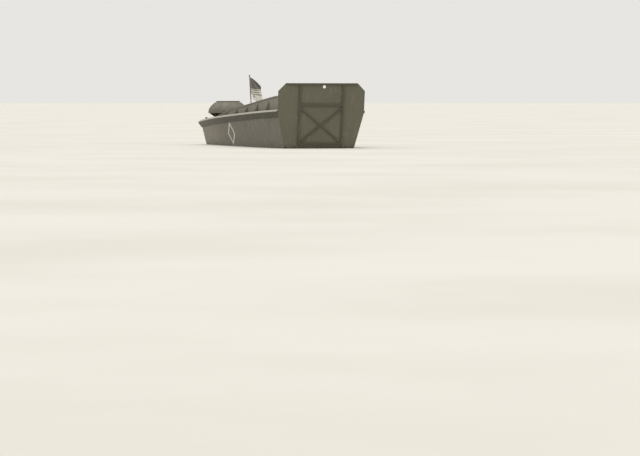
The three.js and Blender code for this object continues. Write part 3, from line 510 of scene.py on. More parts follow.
def laid(name, light, dark, pitch, twist, metal=0.0, rough=0.8):
    """Rope or wire: strands laid round it, whichever way it runs."""
    s = Shader(name, dark)
    x, y, z = s.parts
    run = s.math("ADD", s.math("ADD", x, s.times(y, twist)), s.times(z, -twist))
    strand = s.band(s.math("PINGPONG", run, pitch), 0.0, pitch)
    fuzz = s.noise(160, detail=3)
    s.coat(strand, light)
    s.coat(s.band(fuzz, 0.4, 0.7, 0.0, 0.4), dark)
    s.bumps((strand, 0.003), (fuzz, 0.0008))
    return s.finish(rough, metal)


# The ensign's bands, as heights, and how far they rise for each metre away from the staff.
ENSIGN = {"tilt": 0.10, "field": 1.925, "foot": 1.70, "stripe": 0.0375, "soft": 0.004}
WEAVE = 2600  # radians a metre


def bunting():
    """The ensign's cloth: a plain field above stripes and a plain foot, in greys, with a weave."""
    s = Shader("ensign_cloth", colour(210, 205, 191))
    y, z = s.parts[1], s.parts[2]
    level = s.math("ADD", z, s.times(s.math("ABSOLUTE", y), ENSIGN["tilt"]))
    stripes = s.math("PINGPONG", s.math("SUBTRACT", level, ENSIGN["foot"]), ENSIGN["stripe"])
    s.coat(s.band(stripes, ENSIGN["stripe"] * 0.46, ENSIGN["stripe"] * 0.54), colour(138, 133, 121))
    soft = ENSIGN["soft"]
    s.coat(s.band(level, ENSIGN["foot"] + soft, ENSIGN["foot"] - soft), colour(222, 217, 206))
    s.coat(s.band(level, ENSIGN["field"] - soft, ENSIGN["field"] + soft), colour(104, 100, 91))
    s.coat(s.band(s.noise(7, detail=5), 0.45, 0.75, 0.0, 0.3), GRIME_AND_SHADE)
    weave = s.times(s.math("SINE", s.times(z, WEAVE)), s.math("SINE", s.times(y, WEAVE)))
    s.bumps((weave, 0.0004), (s.noise(26, detail=4), 0.003))
    s.surface.inputs["Sheen Weight"].default_value = 0.3
    return s.finish(0.9)


HULL_TONE, BOX_TONE, DECK_TONE = colour(106, 102, 90), colour(120, 116, 103), colour(128, 124, 112)
PALE = colour(206, 202, 190)
FINISH = {
    # The hull side is lightened aft: painted light, standing for the change of light along the flared side.
    "hull": paint("hull_paint_weathered", HULL_TONE, TIMBER, grain=0, chips=0.35, streaks=0.8,
                  painted_light_along=(0, -1.0, -5.0, colour(142, 137, 122)), seams=((0, -1.22, 2.44, 0.0035),)),
    "stern": paint("transom_paint_weathered", colour(108, 104, 92), TIMBER, grain=1, chips=0.4, streaks=1.0),
    # The coaming's tone, set lighter than the hull's, and its lighter top colour are partly painted light on
    # faces that lean up.
    "coaming": paint("coaming_paint_weathered", colour(125, 121, 108), PRIMER, chips=0.6, streaks=0.7,
                     rust=0.5, top=colour(160, 156, 142)),
    # The shield's lighter top colour is partly painted light from the sky.
    "shield": paint("shield_paint_weathered", colour(101, 97, 85), PRIMER, chips=0.5, streaks=0.8, rust=0.45,
                    top=colour(114, 110, 98)),
    "tub": paint("tub_paint_weathered", colour(112, 109, 97), PRIMER, chips=0.6, streaks=0.5, rust=0.5),
    "ramp": paint("ramp_paint_weathered", colour(97, 94, 78), PRIMER, chips=0.6, streaks=0.5, rust=0.45,
                  scuffs=0.3, corner_shade=0.25),
    # The ribs' paint is darker than the plate's: painted shade, as on the shaded sides of channels.
    "ribs": paint("ramp_rib_paint_darkened_as_shade", colour(77, 73, 58), PRIMER, chips=0.8, streaks=0.4, rust=0.5,
                  corner_shade=0.15),
    "post": paint("post_paint_weathered", colour(97, 94, 80), PRIMER, chips=0.6, streaks=0.7, rust=0.4),
    # The rail's dark tone is partly painted shade under the guard; its light top and lighter aft end are
    # partly painted light.
    "rail": paint("rail_paint_weathered", colour(68, 65, 53), TIMBER_DARK, grain=0, chips=1.0, streaks=0.3,
                  painted_light_along=(0, 0.0, -5.0, colour(100, 96, 84)), top=colour(168, 164, 150), scuffs=0.5, wet=False),
    "deck": paint("deck_paint_weathered", DECK_TONE, TIMBER, grain=0, chips=0.7, streaks=0.0, gritty=True,
                  scuffs=0.5, wet=False),
    "stern_deck": paint("stern_deck_paint_weathered", DECK_TONE, TIMBER, grain=1, chips=0.7, streaks=0.0,
                        gritty=True, scuffs=0.4, wet=False, seams=((0, -4.7, 0.16, 0.004),)),
    "floor": paint("floor_paint_worn", colour(112, 106, 92), TIMBER, grain=0, chips=1.0, streaks=0.0,
                   gritty=True, scuffs=1.0, wet=False, seams=((1, 0.07, 0.14, 0.004),)),
    "wall": paint("wall_paint_weathered", colour(122, 118, 105), TIMBER, grain=0, chips=0.6, streaks=0.5,
                  scuffs=0.9, wet=False, seams=((0, -0.5, 1.22, 0.003),)),
    "box": paint("box_paint_weathered", BOX_TONE, TIMBER, grain=0, chips=0.9, streaks=0.4, scuffs=0.6,
                 wet=False, seams=((0, -1.65, 0.4, 0.003),)),
    "locker": paint("locker_paint_weathered", BOX_TONE, TIMBER, grain=0, chips=0.9, streaks=0.4, scuffs=0.6,
                    wet=False),
    "mark": paint("mark_paint_weathered", PALE, HULL_TONE, chips=0.7, streaks=0.6, wet=False),
    "engine": paint("engine_paint", colour(104, 104, 94), IRON_GREY, chips=0.6, streaks=0.2, rust=0.3,
                    wet=False),
    "fitting": paint("fitting_paint_weathered", colour(78, 75, 66), PRIMER, chips=1.0, streaks=0.3, rust=0.6,
                     wet=False),
    "keel": timber("keel_timber", TIMBER, TIMBER_DARK, grain=0, wet=True),
    "pole": timber("oiled_timber", colour(138, 122, 97), colour(92, 78, 59), grain=2, rough=0.5),
    "tread": timber("tread_timber", colour(138, 124, 102), TIMBER_DARK, grain=1),
    "iron": worn_metal("dark_iron", colour(70, 68, 62), colour(46, 45, 42), 0.55, rust=0.45),
    "steel": worn_metal("worn_steel", colour(120, 116, 106), colour(78, 75, 68), 0.85, rust=0.3, rough=0.42),
    "bronze": worn_metal("cast_bronze", colour(124, 106, 76), colour(84, 72, 52), 0.75, rust=0.35, rough=0.55,
                         stain=colour(82, 92, 76)),
    "zinc": worn_metal("zinc", colour(150, 148, 142), colour(112, 110, 104), 0.3, rust=0.1, rough=0.7),
    "rubber": worn_metal("old_rubber", colour(48, 47, 44), colour(36, 35, 33), 0.0, rust=0.0, rough=0.7),
    "dial": worn_metal("dial_face", PALE, SALT, 0.0, rust=0.05, rough=0.4),
    "glass": worn_metal("dark_glass", colour(34, 37, 36), colour(24, 26, 26), 0.0, rust=0.0, rough=0.16),
    "wire": laid("wire_rope", colour(120, 116, 108), colour(52, 50, 46), 0.006, 0.6, metal=0.6, rough=0.5),
    "rope": laid("hemp_rope", colour(150, 134, 104), colour(92, 78, 56), 0.009, 0.8),
    "cloth": bunting(),
}


def listed(table):
    """Each word of a table's rows, with its row's key."""
    return {word: key for key, words in table.items() for word in words.split()}


# The finish of each CAD node, by the start of its name. The rest have the fittings' paint.
NODE_FINISH = listed({
    "hull": "bottom_planking side_planking rudder", "stern": "transom", "rail": "rub_rail",
    "deck": "side_deck", "stern_deck": "stern_deck", "floor": "cargo_floor cockpit_floor",
    "wall": "well_wall well_bulkhead cockpit_bulkhead", "coaming": "coaming", "post": "bow_post",
    "ramp": "ramp_plate", "ribs": "ramp_stiffeners", "tub": "pit_tub", "shield": "pit_shield",
    "box": "engine_box", "locker": "steering_pedestal stern_hatch_lid", "iron": "ramp_hinge engine",
    "steel": "winch_drum", "bronze": "propeller", "keel": "keel_and_skeg", "tread": "headlog",
    "pole": "ensign_staff steering_wheel",
})


def dress_frame():
    """Gives each CAD node its finish, the longest fitting start of its name deciding."""
    starts = sorted(NODE_FINISH, key=len, reverse=True)
    for name, node in NODES.items():
        finish = next((NODE_FINISH[start] for start in starts if name.startswith(start)), "fitting")
        node.data.materials.clear()
        node.data.materials.append(FINISH[finish])


dress_frame()

# The hull's lines in metres: x, then half-breadth and height of the deck's edge and of the chine, and the
# half-breadth of the well.
LINES = [
    (-5.56, 1.462, 0.828, 1.223, -0.138, 1.195),
    (-4.70, 1.505, 0.880, 1.255, -0.170, 1.195),
    (-3.70, 1.540, 0.931, 1.285, -0.200, 1.195),
    (-2.30, 1.568, 0.989, 1.300, -0.240, 1.195),
    (-0.70, 1.582, 1.046, 1.305, -0.275, 1.195),
    (1.00, 1.578, 1.101, 1.295, -0.290, 1.195),
    (2.50, 1.550, 1.150, 1.260, -0.280, 1.195),
    (3.80, 1.492, 1.190, 1.200, -0.220, 1.170),
    (4.70, 1.428, 1.216, 1.146, -0.110, 1.105),
    (5.45, 1.352, 1.236, 1.098, 0.068, 1.050),
]
COAMING_TOP = [(-4.56, 0.925), (-2.05, 1.215), (4.10, 1.655), (5.45, 1.712)]
COAMING_PLATE = 0.012
FLOOR_TOP = 0.040
DECK_SLOPE = 0.053  # of the stern deck, up for each metre ahead

HULL_SIDE, RAIL_SIDE, WALL = ({side: caster(node + name) for name, side in SIDES.items()}
                              for node in ("side_planking_", "rub_rail_", "well_wall_"))
DECK = caster("side_deck_starboard", "side_deck_port", "stern_deck")
TRANSOM, BOTTOM = caster("transom"), caster("bottom_planking")


def deck_at(x):
    """The height of the deck's edge at x, and of the whole deck at the stern."""
    return blended(LINES, x)[1]


def chine(x):
    """The chine's half-breadth and height at x."""
    return blended(LINES, x)[2:4]


def well_side(x):
    """The well's half-breadth at x."""
    return blended(LINES, x)[4]


def coaming_top(x):
    """The height of the coaming's top at x."""
    return blended(COAMING_TOP, x)[0]


def from_outside(casts, side, x, z):
    """The (point, outward normal) on that side at x and z, seen from outboard, or None."""
    hit = casts[side]((x, side * 3, z), (0, -side, 0))
    return (hit[0], hit[1] * (1 if hit[1].y * side > 0 else -1)) if hit else None


def from_below(x, y):
    """The (point, downward normal) on the bottom at x and y, or None."""
    hit = BOTTOM((x, y, -3), (0, 0, 1))
    return (hit[0], hit[1] if hit[1].z < 0 else -hit[1]) if hit else None


def from_astern(y, z):
    """The (point, direction aft) on the transom at y and z, or None."""
    hit = TRANSOM((-7, y, z), (1, 0, 0))
    return (hit[0], -AHEAD) if hit else None


def on_deck(x, y):
    """The point on the deck at x and y."""
    return DECK((x, y, 3), (0, 0, -1))[0]


def runner(piece, side, x0, x1, outline, pitch):
    """A strip along one side from x0 to x1; outline gives its section's (y, z) points at x, y outboard."""
    piece.loft([[Vector((x, side * y, z)) for y, z in outline(x)] for x in steps(x0, x1, pitch)])


# The ramp: its rake, a point on its inner face, and how far out from that face its plate and its ribs reach.
RAKE = math.radians(9.5)
RAMP_UP = Vector((math.sin(RAKE), 0, math.cos(RAKE)))
RAMP_OUT = Vector((math.cos(RAKE), 0, -math.sin(RAKE)))
RAMP_FACE = Vector((5.25083, 0, 0.99901))
PLATE_OUT = 0.008
RIB_OUT = 0.0565
RIB = {"y": 0.700, "half": 0.030, "low": 0.150, "high": 1.97, "cross": 1.370}
EYE = {"y": 1.0795, "z": 1.80, "out": 0.030}
SIGHT_HOLE = (0.08, 1.942)


def on_ramp(y, z, out=0.0):
    """The point at y and height z on the ramp's inner face, moved out from it."""
    return RAMP_FACE + RAMP_UP * ((z - RAMP_FACE.z) / RAMP_UP.z) + RAMP_OUT * out + Vector((0, y, 0))


def hull_outside():
    """Screws and bolts in the planking, the bottom, the transom and the rails, and the chine's battens."""
    screws, bolts = Piece("hull_screws", "hull"), Piece("rail_bolts", "rail")
    batten = Piece("chine_battens", "hull")
    for side in SIDES.values():
        for x in steps(-5.35, 4.75, 0.46):
            for z in steps(chine(x)[1] + 0.05, deck_at(x) - 0.29, 0.115):
                for beside in (-0.016, 0.016):
                    screws.pin(from_outside(HULL_SIDE, side, x + beside, z), 0.0055, 0.0012, 6)
        for x in steps(-5.4, 5.0, 0.085):
            screws.pin(from_outside(HULL_SIDE, side, x, chine(x)[1] + 0.035), 0.005, 0.0012, 6)
        for x in steps(-5.3, 5.05, 0.575):
            for ahead, below in ((0, 0.034), (0.29, 0.150)):
                bolts.pin(from_outside(RAIL_SIDE, side, x + ahead, deck_at(x) - below), *RAIL_BOLT)
        edge = [(x, *chine(x)) for x in steps(-5.42, 4.85, 0.3)]
        batten.tube([(x, side * (y + 0.004), z + 0.002) for x, y, z in edge], 0.014)
    bolts.heads(grid(-5.551, steps(-1.40, 1.40, 0.28), deck_at(-5.5) - 0.075), -AHEAD, *RAIL_BOLT)
    for y in steps(-1.2, 1.2, 0.115):
        for z in (0.0, 0.34):
            screws.pin(from_astern(y, z), *SCREW)
    for x in steps(-5.2, 4.2, 0.46):
        for y in steps(-1.1, 1.1, 0.22):
            if abs(y) > 0.08:  # clear of the keel
                screws.pin(from_below(x, y), *SCREW)
    make(screws, bolts, batten)


# The diamond's middle, half sizes and half its line's width, and how far its corners stretch with that.
LOZENGE = {"x": -0.87, "z": 0.42, "long": 0.43, "high": 0.34, "line": 0.032, "mitre": (2.1, 1.6),
           "proud": 0.0012}


def lozenges():
    """A plain pale diamond outline on each side of the hull."""
    corners = [(1, 0), (0, 1), (-1, 0), (0, -1)]
    for name, side in SIDES.items():
        piece = Piece("lozenge_" + name, "mark")
        for (a0, b0), (a1, b1) in zip(corners, corners[1:] + corners[:1]):
            rings = []
            for t in steps(0, 1, 0.1):
                pairs = []
                for grow in (LOZENGE["line"], -LOZENGE["line"]):
                    x = LOZENGE["x"] + (a0 + (a1 - a0) * t) * (LOZENGE["long"] + grow * LOZENGE["mitre"][0])
                    z = LOZENGE["z"] + (b0 + (b1 - b0) * t) * (LOZENGE["high"] + grow * LOZENGE["mitre"][1])
                    point, normal = from_outside(HULL_SIDE, side, x, z)
                    pairs += [point - normal * 0.001, point + normal * LOZENGE["proud"]]
                under_out, over_out, under_in, over_in = pairs
                rings.append([under_out, over_out, over_in, under_in])
            piece.loft(rings)
        piece.make()


def ramp_outside():
    """Rivets along the ramp's stiffeners, welds beside them, and a ring round its sight hole."""
    rivets, welds = Piece("ramp_rivets", "ribs", "ramp"), Piece("ramp_welds", "ramp", "ramp")
    ring = Piece("ramp_sight_ring", "ramp", "ramp")
    on_rib, on_plate = (RIB_OUT, 0.007, 0.0035), (PLATE_OUT, *PLATE_RIVET)  # how far out, radius and rise

    def rivet(y, z, out, *size):
        rivets.head(on_ramp(y, z, out), RAMP_OUT, *size)

    def weld(line):
        welds.tube([on_ramp(y, z, PLATE_OUT) for y, z in line], 0.0045, 6)

    for side in (-1, 1):
        for z in steps(RIB["low"] + 0.06, RIB["high"], 0.13):
            for beside in (-0.018, 0.018):
                rivet(side * RIB["y"] + beside, z, *on_rib)
        for edge in (-1, 1):
            y = side * RIB["y"] + edge * (RIB["half"] + 0.001)
            weld([(y, z) for z in steps(0.13, 1.99, 0.12)])
        for z in steps(1.18, 1.78, 0.12):
            rivet(side * 1.335, z, *on_plate)
        for t in steps(0, 1, 0.125):
            rivet(side * (1.10 + 0.235 * t), 0.14 + 0.94 * t, *on_plate)
    for z in (RIB["cross"], RIB["low"]):
        for y in steps(-0.6, 0.6, 0.12):
            rivet(y, z, *on_rib)
        for edge in (-1, 1):
            weld([(y, z + edge * RIB["half"]) for y in steps(-0.665, 0.665, 0.12)])
    for y in steps(-1.0, 1.0, 0.125):
        if abs(abs(y) - RIB["y"]) > 0.05:
            rivet(y, 0.085, *on_plate)
    hole = on_ramp(*SIGHT_HOLE, PLATE_OUT)
    ring.turned(hole, RAMP_OUT, [(0.051, -0.002), (0.051, 0.005), (0.069, 0.005), (0.070, -0.002)], 40,
                closed=True)
    spots = around(hole + RAMP_OUT * 0.005, RAMP_UP * 0.060, ACROSS * 0.060, 8, 0.5)
    ring.heads(spots, RAMP_OUT, 0.004, 0.002)
    make(rivets, welds, ring)


def ramp_inside():
    """Treads on the ramp's inner face, its pad eyes, and the gasket it closes on."""
    treads, bolts = Piece("ramp_treads", "tread", "ramp"), Piece("ramp_tread_bolts", "iron", "ramp")
    eyes, gasket = Piece("ramp_eyes", "fitting", "ramp"), Piece("ramp_gasket", "rubber")
    for z in steps(0.22, 1.70, 0.165):
        treads.block(on_ramp(0, z, -0.010), (1.92, 0.050, 0.020), ACROSS, RAMP_OUT)
        spots = [on_ramp(y, z, -0.020) for y in steps(-0.88, 0.88, 0.44)]
        bolts.heads(spots, -RAMP_OUT, 0.010, 0.003, 10)
    for side in (-1, 1):
        eye = on_ramp(side * EYE["y"], EYE["z"])
        eyes.block(eye - RAMP_OUT * 0.004, (0.075, 0.10, 0.008), ACROSS, RAMP_OUT)
        eyes.ring(eye - RAMP_OUT * EYE["out"], ACROSS, 0.018, 0.006, 20)
        for up, y in four(0.035, 0.024):
            eyes.nut(eye + RAMP_UP * up + ACROSS * y - RAMP_OUT * 0.008, -RAMP_OUT, 0.010, 0.006)
        inner = [on_ramp(side * 1.085, z, -0.0045) for z in steps(0.12, 1.66, 0.11)]
        section = ((-0.002, -0.011), (-0.002, 0.011), (0.002, 0.011), (0.002, -0.011))
        gasket.loft([[point + RAMP_OUT * out + ACROSS * y for out, y in section] for point in inner])
    make(treads, bolts, eyes, gasket)


def coaming_fittings():
    """Foot flanges, and rivets in them, along the caps and down the coamings."""
    flange, rivets = Piece("coaming_flanges", "coaming"), Piece("coaming_rivets", "coaming")
    section = ((0, 0), (0.048, 0), (0.048, 0.006), (0.006, 0.006), (0.006, 0.045), (0, 0.045))
    for side in SIDES.values():
        def beside(x, out=0.05):
            return on_deck(x, side * (well_side(x) + out)).z

        def foot(x):
            return [(well_side(x) + COAMING_PLATE + out, beside(x) + up) for out, up in section]

        runner(flange, side, -4.50, 5.02, foot, 0.3)
        for x in steps(-4.45, 4.95, 0.16):
            y, z = well_side(x) + COAMING_PLATE, beside(x, COAMING_PLATE + 0.05)
            rivets.head((x, side * (y + 0.030), z + 0.006), UP, *RIVET)
            rivets.head((x, side * (y + 0.006), z + 0.027), ACROSS * side, *SMALL_RIVET)
        for x in steps(-4.3, 5.05, 0.20):
            for out, way in ((0.029, side), (-0.017, -side)):
                place = (x, side * (well_side(x) + out), coaming_top(x) - 0.017)
                rivets.head(place, ACROSS * way, 0.005, 0.0025)
        for x in steps(-3.6, 4.9, 0.85):
            low, high = beside(x) + 0.05, coaming_top(x) - 0.045
            if high - low > 0.1:
                spots = grid(x, side * (well_side(x) + COAMING_PLATE), steps(low, high, 0.09))
                rivets.heads(spots, ACROSS * side, 0.0055, 0.0025)
    make(flange, rivets)


# Lifting wires: they run aft from the sheaves over rollers along the inside of the coamings. The port wire
# turns down over its lead through the floor, and comes up again at the winch.
WIRE_RADIUS = 0.006
HOOK = {"back": 0.0745, "beside": 0.0125}
ROLLER = {"xs": {-1: [4.4, 2.9, 1.4, -0.1, -1.6, -2.35], 1: [4.4, 2.9, 1.4]}, "inside": 0.040, "down": 0.085}
LEAD = {"x": -0.32, "inside": 0.035, "down": 0.15, "turn": 0.056}
SHEAVE = {"below_top": 0.062, "turn": 0.048 + WIRE_RADIUS}
WINCH = Vector((-3.1, -1.0, 0.78))
WINCH_GROMMET = (WINCH.x + 0.066, -0.955)


def inside_coaming(side, x, place):
    """A point so far inside and below the coaming's top as a table says."""
    return Vector((x, side * (well_side(x) - place["inside"]), coaming_top(x) - place["down"]))


def sheave_middle(name):
    """The middle of the sheave on the named side."""
    low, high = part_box("ramp_sheave_" + name)
    return Vector(((low.x + high.x) / 2, (low.y + high.y) / 2, high.z - SHEAVE["below_top"]))


def rollers():
    """The wires' rollers in their frames, the port wire's lead, and grommets where it passes the floor."""
    frames, wheels = Piece("fairlead_frames", "fitting"), Piece("fairlead_rollers", "bronze")
    waist = [(0.018, 0), (0.010, 0.016), (0.008, 0.030), (0.010, 0.044), (0.018, 0.060)]
    for side, xs in ROLLER["xs"].items():
        for x in xs:
            middle = inside_coaming(side, x, ROLLER)
            back = side * (well_side(x) - 0.0045)
            frames.block((x, back, middle.z), (0.075, 0.095, 0.007), AHEAD, ACROSS * side)
            for lift in (-0.034, 0.034):
                frames.block((x, side * (well_side(x) - 0.030), middle.z + lift), (0.05, 0.052, 0.005))
            for dx, dz in four(0.027, 0.036):
                frames.head((x + dx, back - side * 0.0035, middle.z + dz), ACROSS * -side, *SMALL_RIVET)
            wheels.turned(middle - ACROSS * side * 0.006 - UP * 0.030, UP, waist, 20)
    lead = inside_coaming(1, LEAD["x"], LEAD)
    groove = [(0.062, 0), (0.050, 0.008), (0.050, 0.016), (0.062, 0.024)]
    wheels.turned(lead - ACROSS * 0.012, ACROSS, groove, 28)
    frames.block(lead + ACROSS * 0.022, (0.11, 0.008, 0.15))
    frames.block(lead - ACROSS * 0.018, (0.05, 0.006, 0.14))
    frames.rod(lead - ACROSS * 0.026, lead + ACROSS * 0.030, 0.011)
    for x, y in ((lead.x - LEAD["turn"], lead.y), WINCH_GROMMET):
        grommet = [(0.014, 0), (0.014, 0.008), (0.032, 0.008), (0.034, 0)]
        frames.turned((x, y, FLOOR_TOP), UP, grommet, 24, closed=True)
    make(frames, wheels)


def wire_route(name, side):
    """The points of a lifting wire from behind its hook to the winch, and its direction at the hook."""
    middle, turn = sheave_middle(name), SHEAVE["turn"]
    over = [middle + Vector((turn * math.sin(a), 0, turn * math.cos(a))) for a in (0.15, 0.0, -0.15, -0.30)]
    ring = on_ramp(side * EYE["y"], EYE["z"], -EYE["out"])
    toward = (ring - over[0]).normalized()
    points = [ring - toward * HOOK["back"], *over]
    points += [inside_coaming(side, x, ROLLER) + ACROSS * side * 0.009 for x in ROLLER["xs"][side]]
    if side < 0:
        points += [WINCH + Vector((0.030, -0.030, 0.060)), WINCH + Vector((0.000, -0.032, 0.067))]
    else:
        lead, turn = inside_coaming(side, LEAD["x"], LEAD), LEAD["turn"]
        points += [lead + UP * turn, lead + Vector((-0.035, 0, 0.043)), lead - AHEAD * turn]
        points.append(Vector((lead.x - turn, lead.y, FLOOR_TOP - 0.03)))
    return points, toward


def ramp_wires():
    """The wire each side from the winch, over rollers and sheave, to its hook in the ramp's eye."""
    for name, side in SIDES.items():
        wire, hook = Piece("lifting_wire_" + name, "wire"), Piece("wire_hook_" + name, "steel")
        points, toward = wire_route(name, side)
        fine = []
        for a, b in zip(points, points[1:]):
            fine += [a.lerp(b, t) for t in steps(0, 1, 0.25 / (b - a).length)[:-1]]
        wire.tube(fine + [points[-1]], WIRE_RADIUS)
        start, out = points[0], ACROSS * side * HOOK["beside"]
        hook.rod(start - toward * 0.022, start + toward * 0.012, 0.0095, 14)
        bend = [(0.008, 0.0), (0.022, 0.0), (0.034, 0.35), (0.045, 1.0), (0.062, 1.0), (0.072, 0.55),
                (HOOK["back"], 0.0), (0.072, -0.55), (0.062, -1.0), (0.048, -1.05), (0.040, -1.25)]
        hook.tube([start + toward * ahead + out * share for ahead, share in bend], 0.0042, 10)
        make(wire, hook)
    rising = Piece("winch_wire", "wire")
    rising.tube([(*WINCH_GROMMET, z) for z in steps(FLOOR_TOP - 0.03, WINCH.z, 0.12)], WIRE_RADIUS)
    rising.make()


def winch_fittings():
    """Wire wound on the drum, its toothed wheel and grip, the pawl, and plates and bolts in the frame."""
    wound, gear = Piece("winch_windings", "wire", "winch"), Piece("winch_gear", "steel", "winch")
    bits = Piece("winch_frame_bolts", "fitting")
    turns, parts, reach, wide = 12, 22, 0.060 + WIRE_RADIUS, 0.160  # parts are a turn's, for its tube
    points = []
    for i in range(turns * parts + 1):
        angle = 2 * math.pi * i / parts
        y = wide * (i / (turns * parts) - 0.5)
        points.append(WINCH + Vector((reach * math.sin(angle), y, reach * math.cos(angle))))
    wound.tube(points, WIRE_RADIUS, 6)

    outboard = WINCH - ACROSS * 0.1185
    teeth, root, crest = 30, 0.088, 0.098
    outline = []
    for i in range(teeth):
        for radius, part in ((root, 0.0), (crest, 0.12), (crest, 0.42), (root, 0.55)):
            angle = 2 * math.pi * (i + part) / teeth
            outline.append(outboard + Vector((radius * math.cos(angle), 0, radius * math.sin(angle))))
    gear.prism(outline, -ACROSS * 0.012)
    gear.turned(outboard, -ACROSS, [(0.030, 0), (0.030, 0.020), (0.022, 0.024)])
    grip = [(0.017, -0.13), (0.019, -0.12), (0.019, -0.012), (0.015, 0)]
    gear.turned(WINCH + ACROSS * 0.252 + UP * 0.25, ACROSS, grip, 20)

    for edge in (-1, 1):
        plate = WINCH + ACROSS * edge * 0.112
        bearing = [(0.036, 0), (0.036, 0.0045), (0.019, 0.0045), (0.019, 0)]
        bits.turned(plate, ACROSS * edge, bearing, 24, closed=True)
        spots = grid((WINCH.x - 0.125, WINCH.x + 0.125), plate.y - edge * 0.03, FLOOR_TOP + 0.0145)
        bits.nuts(spots, UP, 0.014, 0.010)
        for down in (0.25, 0.45, 0.62):
            for way in (-1, 1):
                leg = AHEAD * way * (0.045 + 0.09 * down)
                bits.head(plate + leg - UP * down, ACROSS * edge, *PLATE_RIVET)
    pawl = WINCH + Vector((-0.075, -0.115, 0.105))
    pin = pawl + Vector((-0.03, 0, 0.008))
    bits.block(pawl, (0.075, 0.008, 0.014), (1, 0, -0.25))
    bits.rod(pin + ACROSS * 0.012, pin - ACROSS * 0.008, 0.008)
    make(wound, gear, bits)


def sheaves():
    """Smooth sheaves between cheek plates, for the ramp's wires."""
    cheek = [(-0.070, 0.004), (0.070, 0.004), (0.034, 0.092), (0.020, 0.110), (-0.020, 0.110),
             (-0.034, 0.092)]
    groove = [(0.061, -0.011), (0.062, -0.009), (0.054, -0.005), (0.049, 0.0), (0.054, 0.005), (0.062, 0.009),
              (0.061, 0.011)]
    slope = (coaming_top(5.21) - coaming_top(5.05)) / 0.16
    for name in SIDES:
        middle = sheave_middle(name)
        frames, wheel = Piece("sheave_frame_" + name, "fitting"), Piece("sheave_wheel_" + name, "bronze")
        foot = Vector((middle.x, middle.y, coaming_top(middle.x) + 0.0055))
        frames.block(foot, (0.158, 0.047, 0.0095), (1, 0, slope))
        for edge in (-1, 1):
            points = [foot + Vector((x, edge * 0.0175, z + x * slope)) for x, z in cheek]
            frames.prism(points, (0, edge * 0.006, 0))
        frames.nuts([foot + Vector((x, 0, 0.004)) for x in (-0.055, 0.055)], UP, 0.009, 0.006)
        frames.nut(middle + ACROSS * 0.0235, ACROSS, 0.012, 0.004)
        frames.turned(middle - ACROSS * 0.0235, -ACROSS, [(0.013, 0), (0.012, 0.003), (0.004, 0.0042)], 16)
        wheel.turned(middle, ACROSS, groove, 48)
        for face in (ACROSS, -ACROSS):
            spots = around(middle + face * 0.011, AHEAD * 0.032, UP * 0.032, 5)
            wheel.heads(spots, face, 0.009, 0.0015, 12)
        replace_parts(frames.make(), "ramp_sheave_" + name)
        wheel.make()


def well_fittings():
    """Battens on the walls and the floor, lashing rings, sockets in the floor, and steps on the bulkhead."""
    wood, cleats = Piece("wall_battens", "wall"), Piece("floor_cleats", "tread")
    rings, caps = Piece("lashing_rings", "fitting"), Piece("bulkhead_cap", "tread")
    stringer = ((0.001, 0), (0.001, 0.07), (0.014, 0.066), (0.014, 0.004))
    for side in SIDES.values():
        inward = ACROSS * -side

        def on_wall(x, z):
            hit = WALL[side]((x, 0, z), (0, side, 0))
            return hit[0] if hit else Vector((x, side * well_side(x), z))

        for x in steps(0.25, 4.65, 0.55) + steps(-3.55, -0.55, 0.6):
            low, high = on_wall(x, FLOOR_TOP + 0.03), on_wall(x, deck_at(x) - 0.06)
            size = (high.z - low.z, 0.045, 0.012)
            wood.block((low + high) / 2 + inward * 0.006, size, high - low, ACROSS)
            for t in (0.08, 0.36, 0.64, 0.92):
                wood.head(low.lerp(high, t) + inward * 0.012, inward, 0.007, 0.002)
        for z in (0.34, 0.74):
            for x0, x1 in ((-0.10, 4.75), (-3.80, -0.25)):
                runner(wood, side, x0, x1, lambda x: [(well_side(x) - y, z + up) for y, up in stringer], 0.25)
        for x in (4.35, 2.9, 1.45, 0.1):
            face = on_wall(x, 0.52)
            rings.block(face + inward * 0.003, (0.09, 0.06, 0.006), AHEAD, ACROSS)
            rings.ring(face + inward * 0.012 - UP * 0.030, (0, 1, 0.35 * side), 0.030, 0.0055, 24)
        for spot in grid((4.3, 3.0, 1.7, 0.4), side * 0.82, FLOOR_TOP):
            rings.turned(spot, UP, [(0.052, 0.0), (0.050, 0.004), (0.034, 0.004), (0.030, 0.001)], 28)
            rings.ring(spot + UP * 0.007, UP, 0.034, 0.006, 24)
    for x in steps(0.15, 4.70, 0.35):
        half = well_side(x) - 0.10
        cleats.block((x, 0, FLOOR_TOP + 0.007), (0.045, 2 * half, 0.014))
        cleats.heads(grid(x, steps(0.06 - half, half - 0.06, 0.35), FLOOR_TOP + 0.014), UP, 0.008, 0.002)
    caps.block((-0.18, 0, 1.0745), (0.058, 2.37, 0.028))
    caps.heads(grid(-0.18, steps(-1.1, 1.1, 0.44), 1.0885), UP, 0.009, 0.002)
    for step in grid(-0.140, (-0.86, 0.86), (0.38, 0.70)):
        caps.block(step, (0.058, 0.28, 0.022))
        for y in (-0.11, 0.098):
            knee = ((-0.028, -0.011), (0.025, -0.011), (-0.028, -0.08))
            caps.prism([step + Vector((x, y, z)) for x, z in knee], (0, 0.012, 0))
    make(wood, cleats, rings, caps)


def handle(piece, middle, along, out, half, bend, rises, foot):
    """A bar handle of half length half, its corners cut back by bend. rises are how deep its two feet are
    sunk, and how high its knees and its top stand; foot is the feet's radius."""
    sunk, knee, top = rises
    line = [(-half, 0), (-half, knee), (bend - half, top), (half - bend, top), (half, knee), (half, 0)]
    piece.tube([middle + along * a + out * b for a, b in line], 0.006)
    for end in (-half, half):
        piece.turned(middle + along * end - out * sunk, out, [(foot, 0), (foot, 0.003), (0.008, 0.006)], 16)


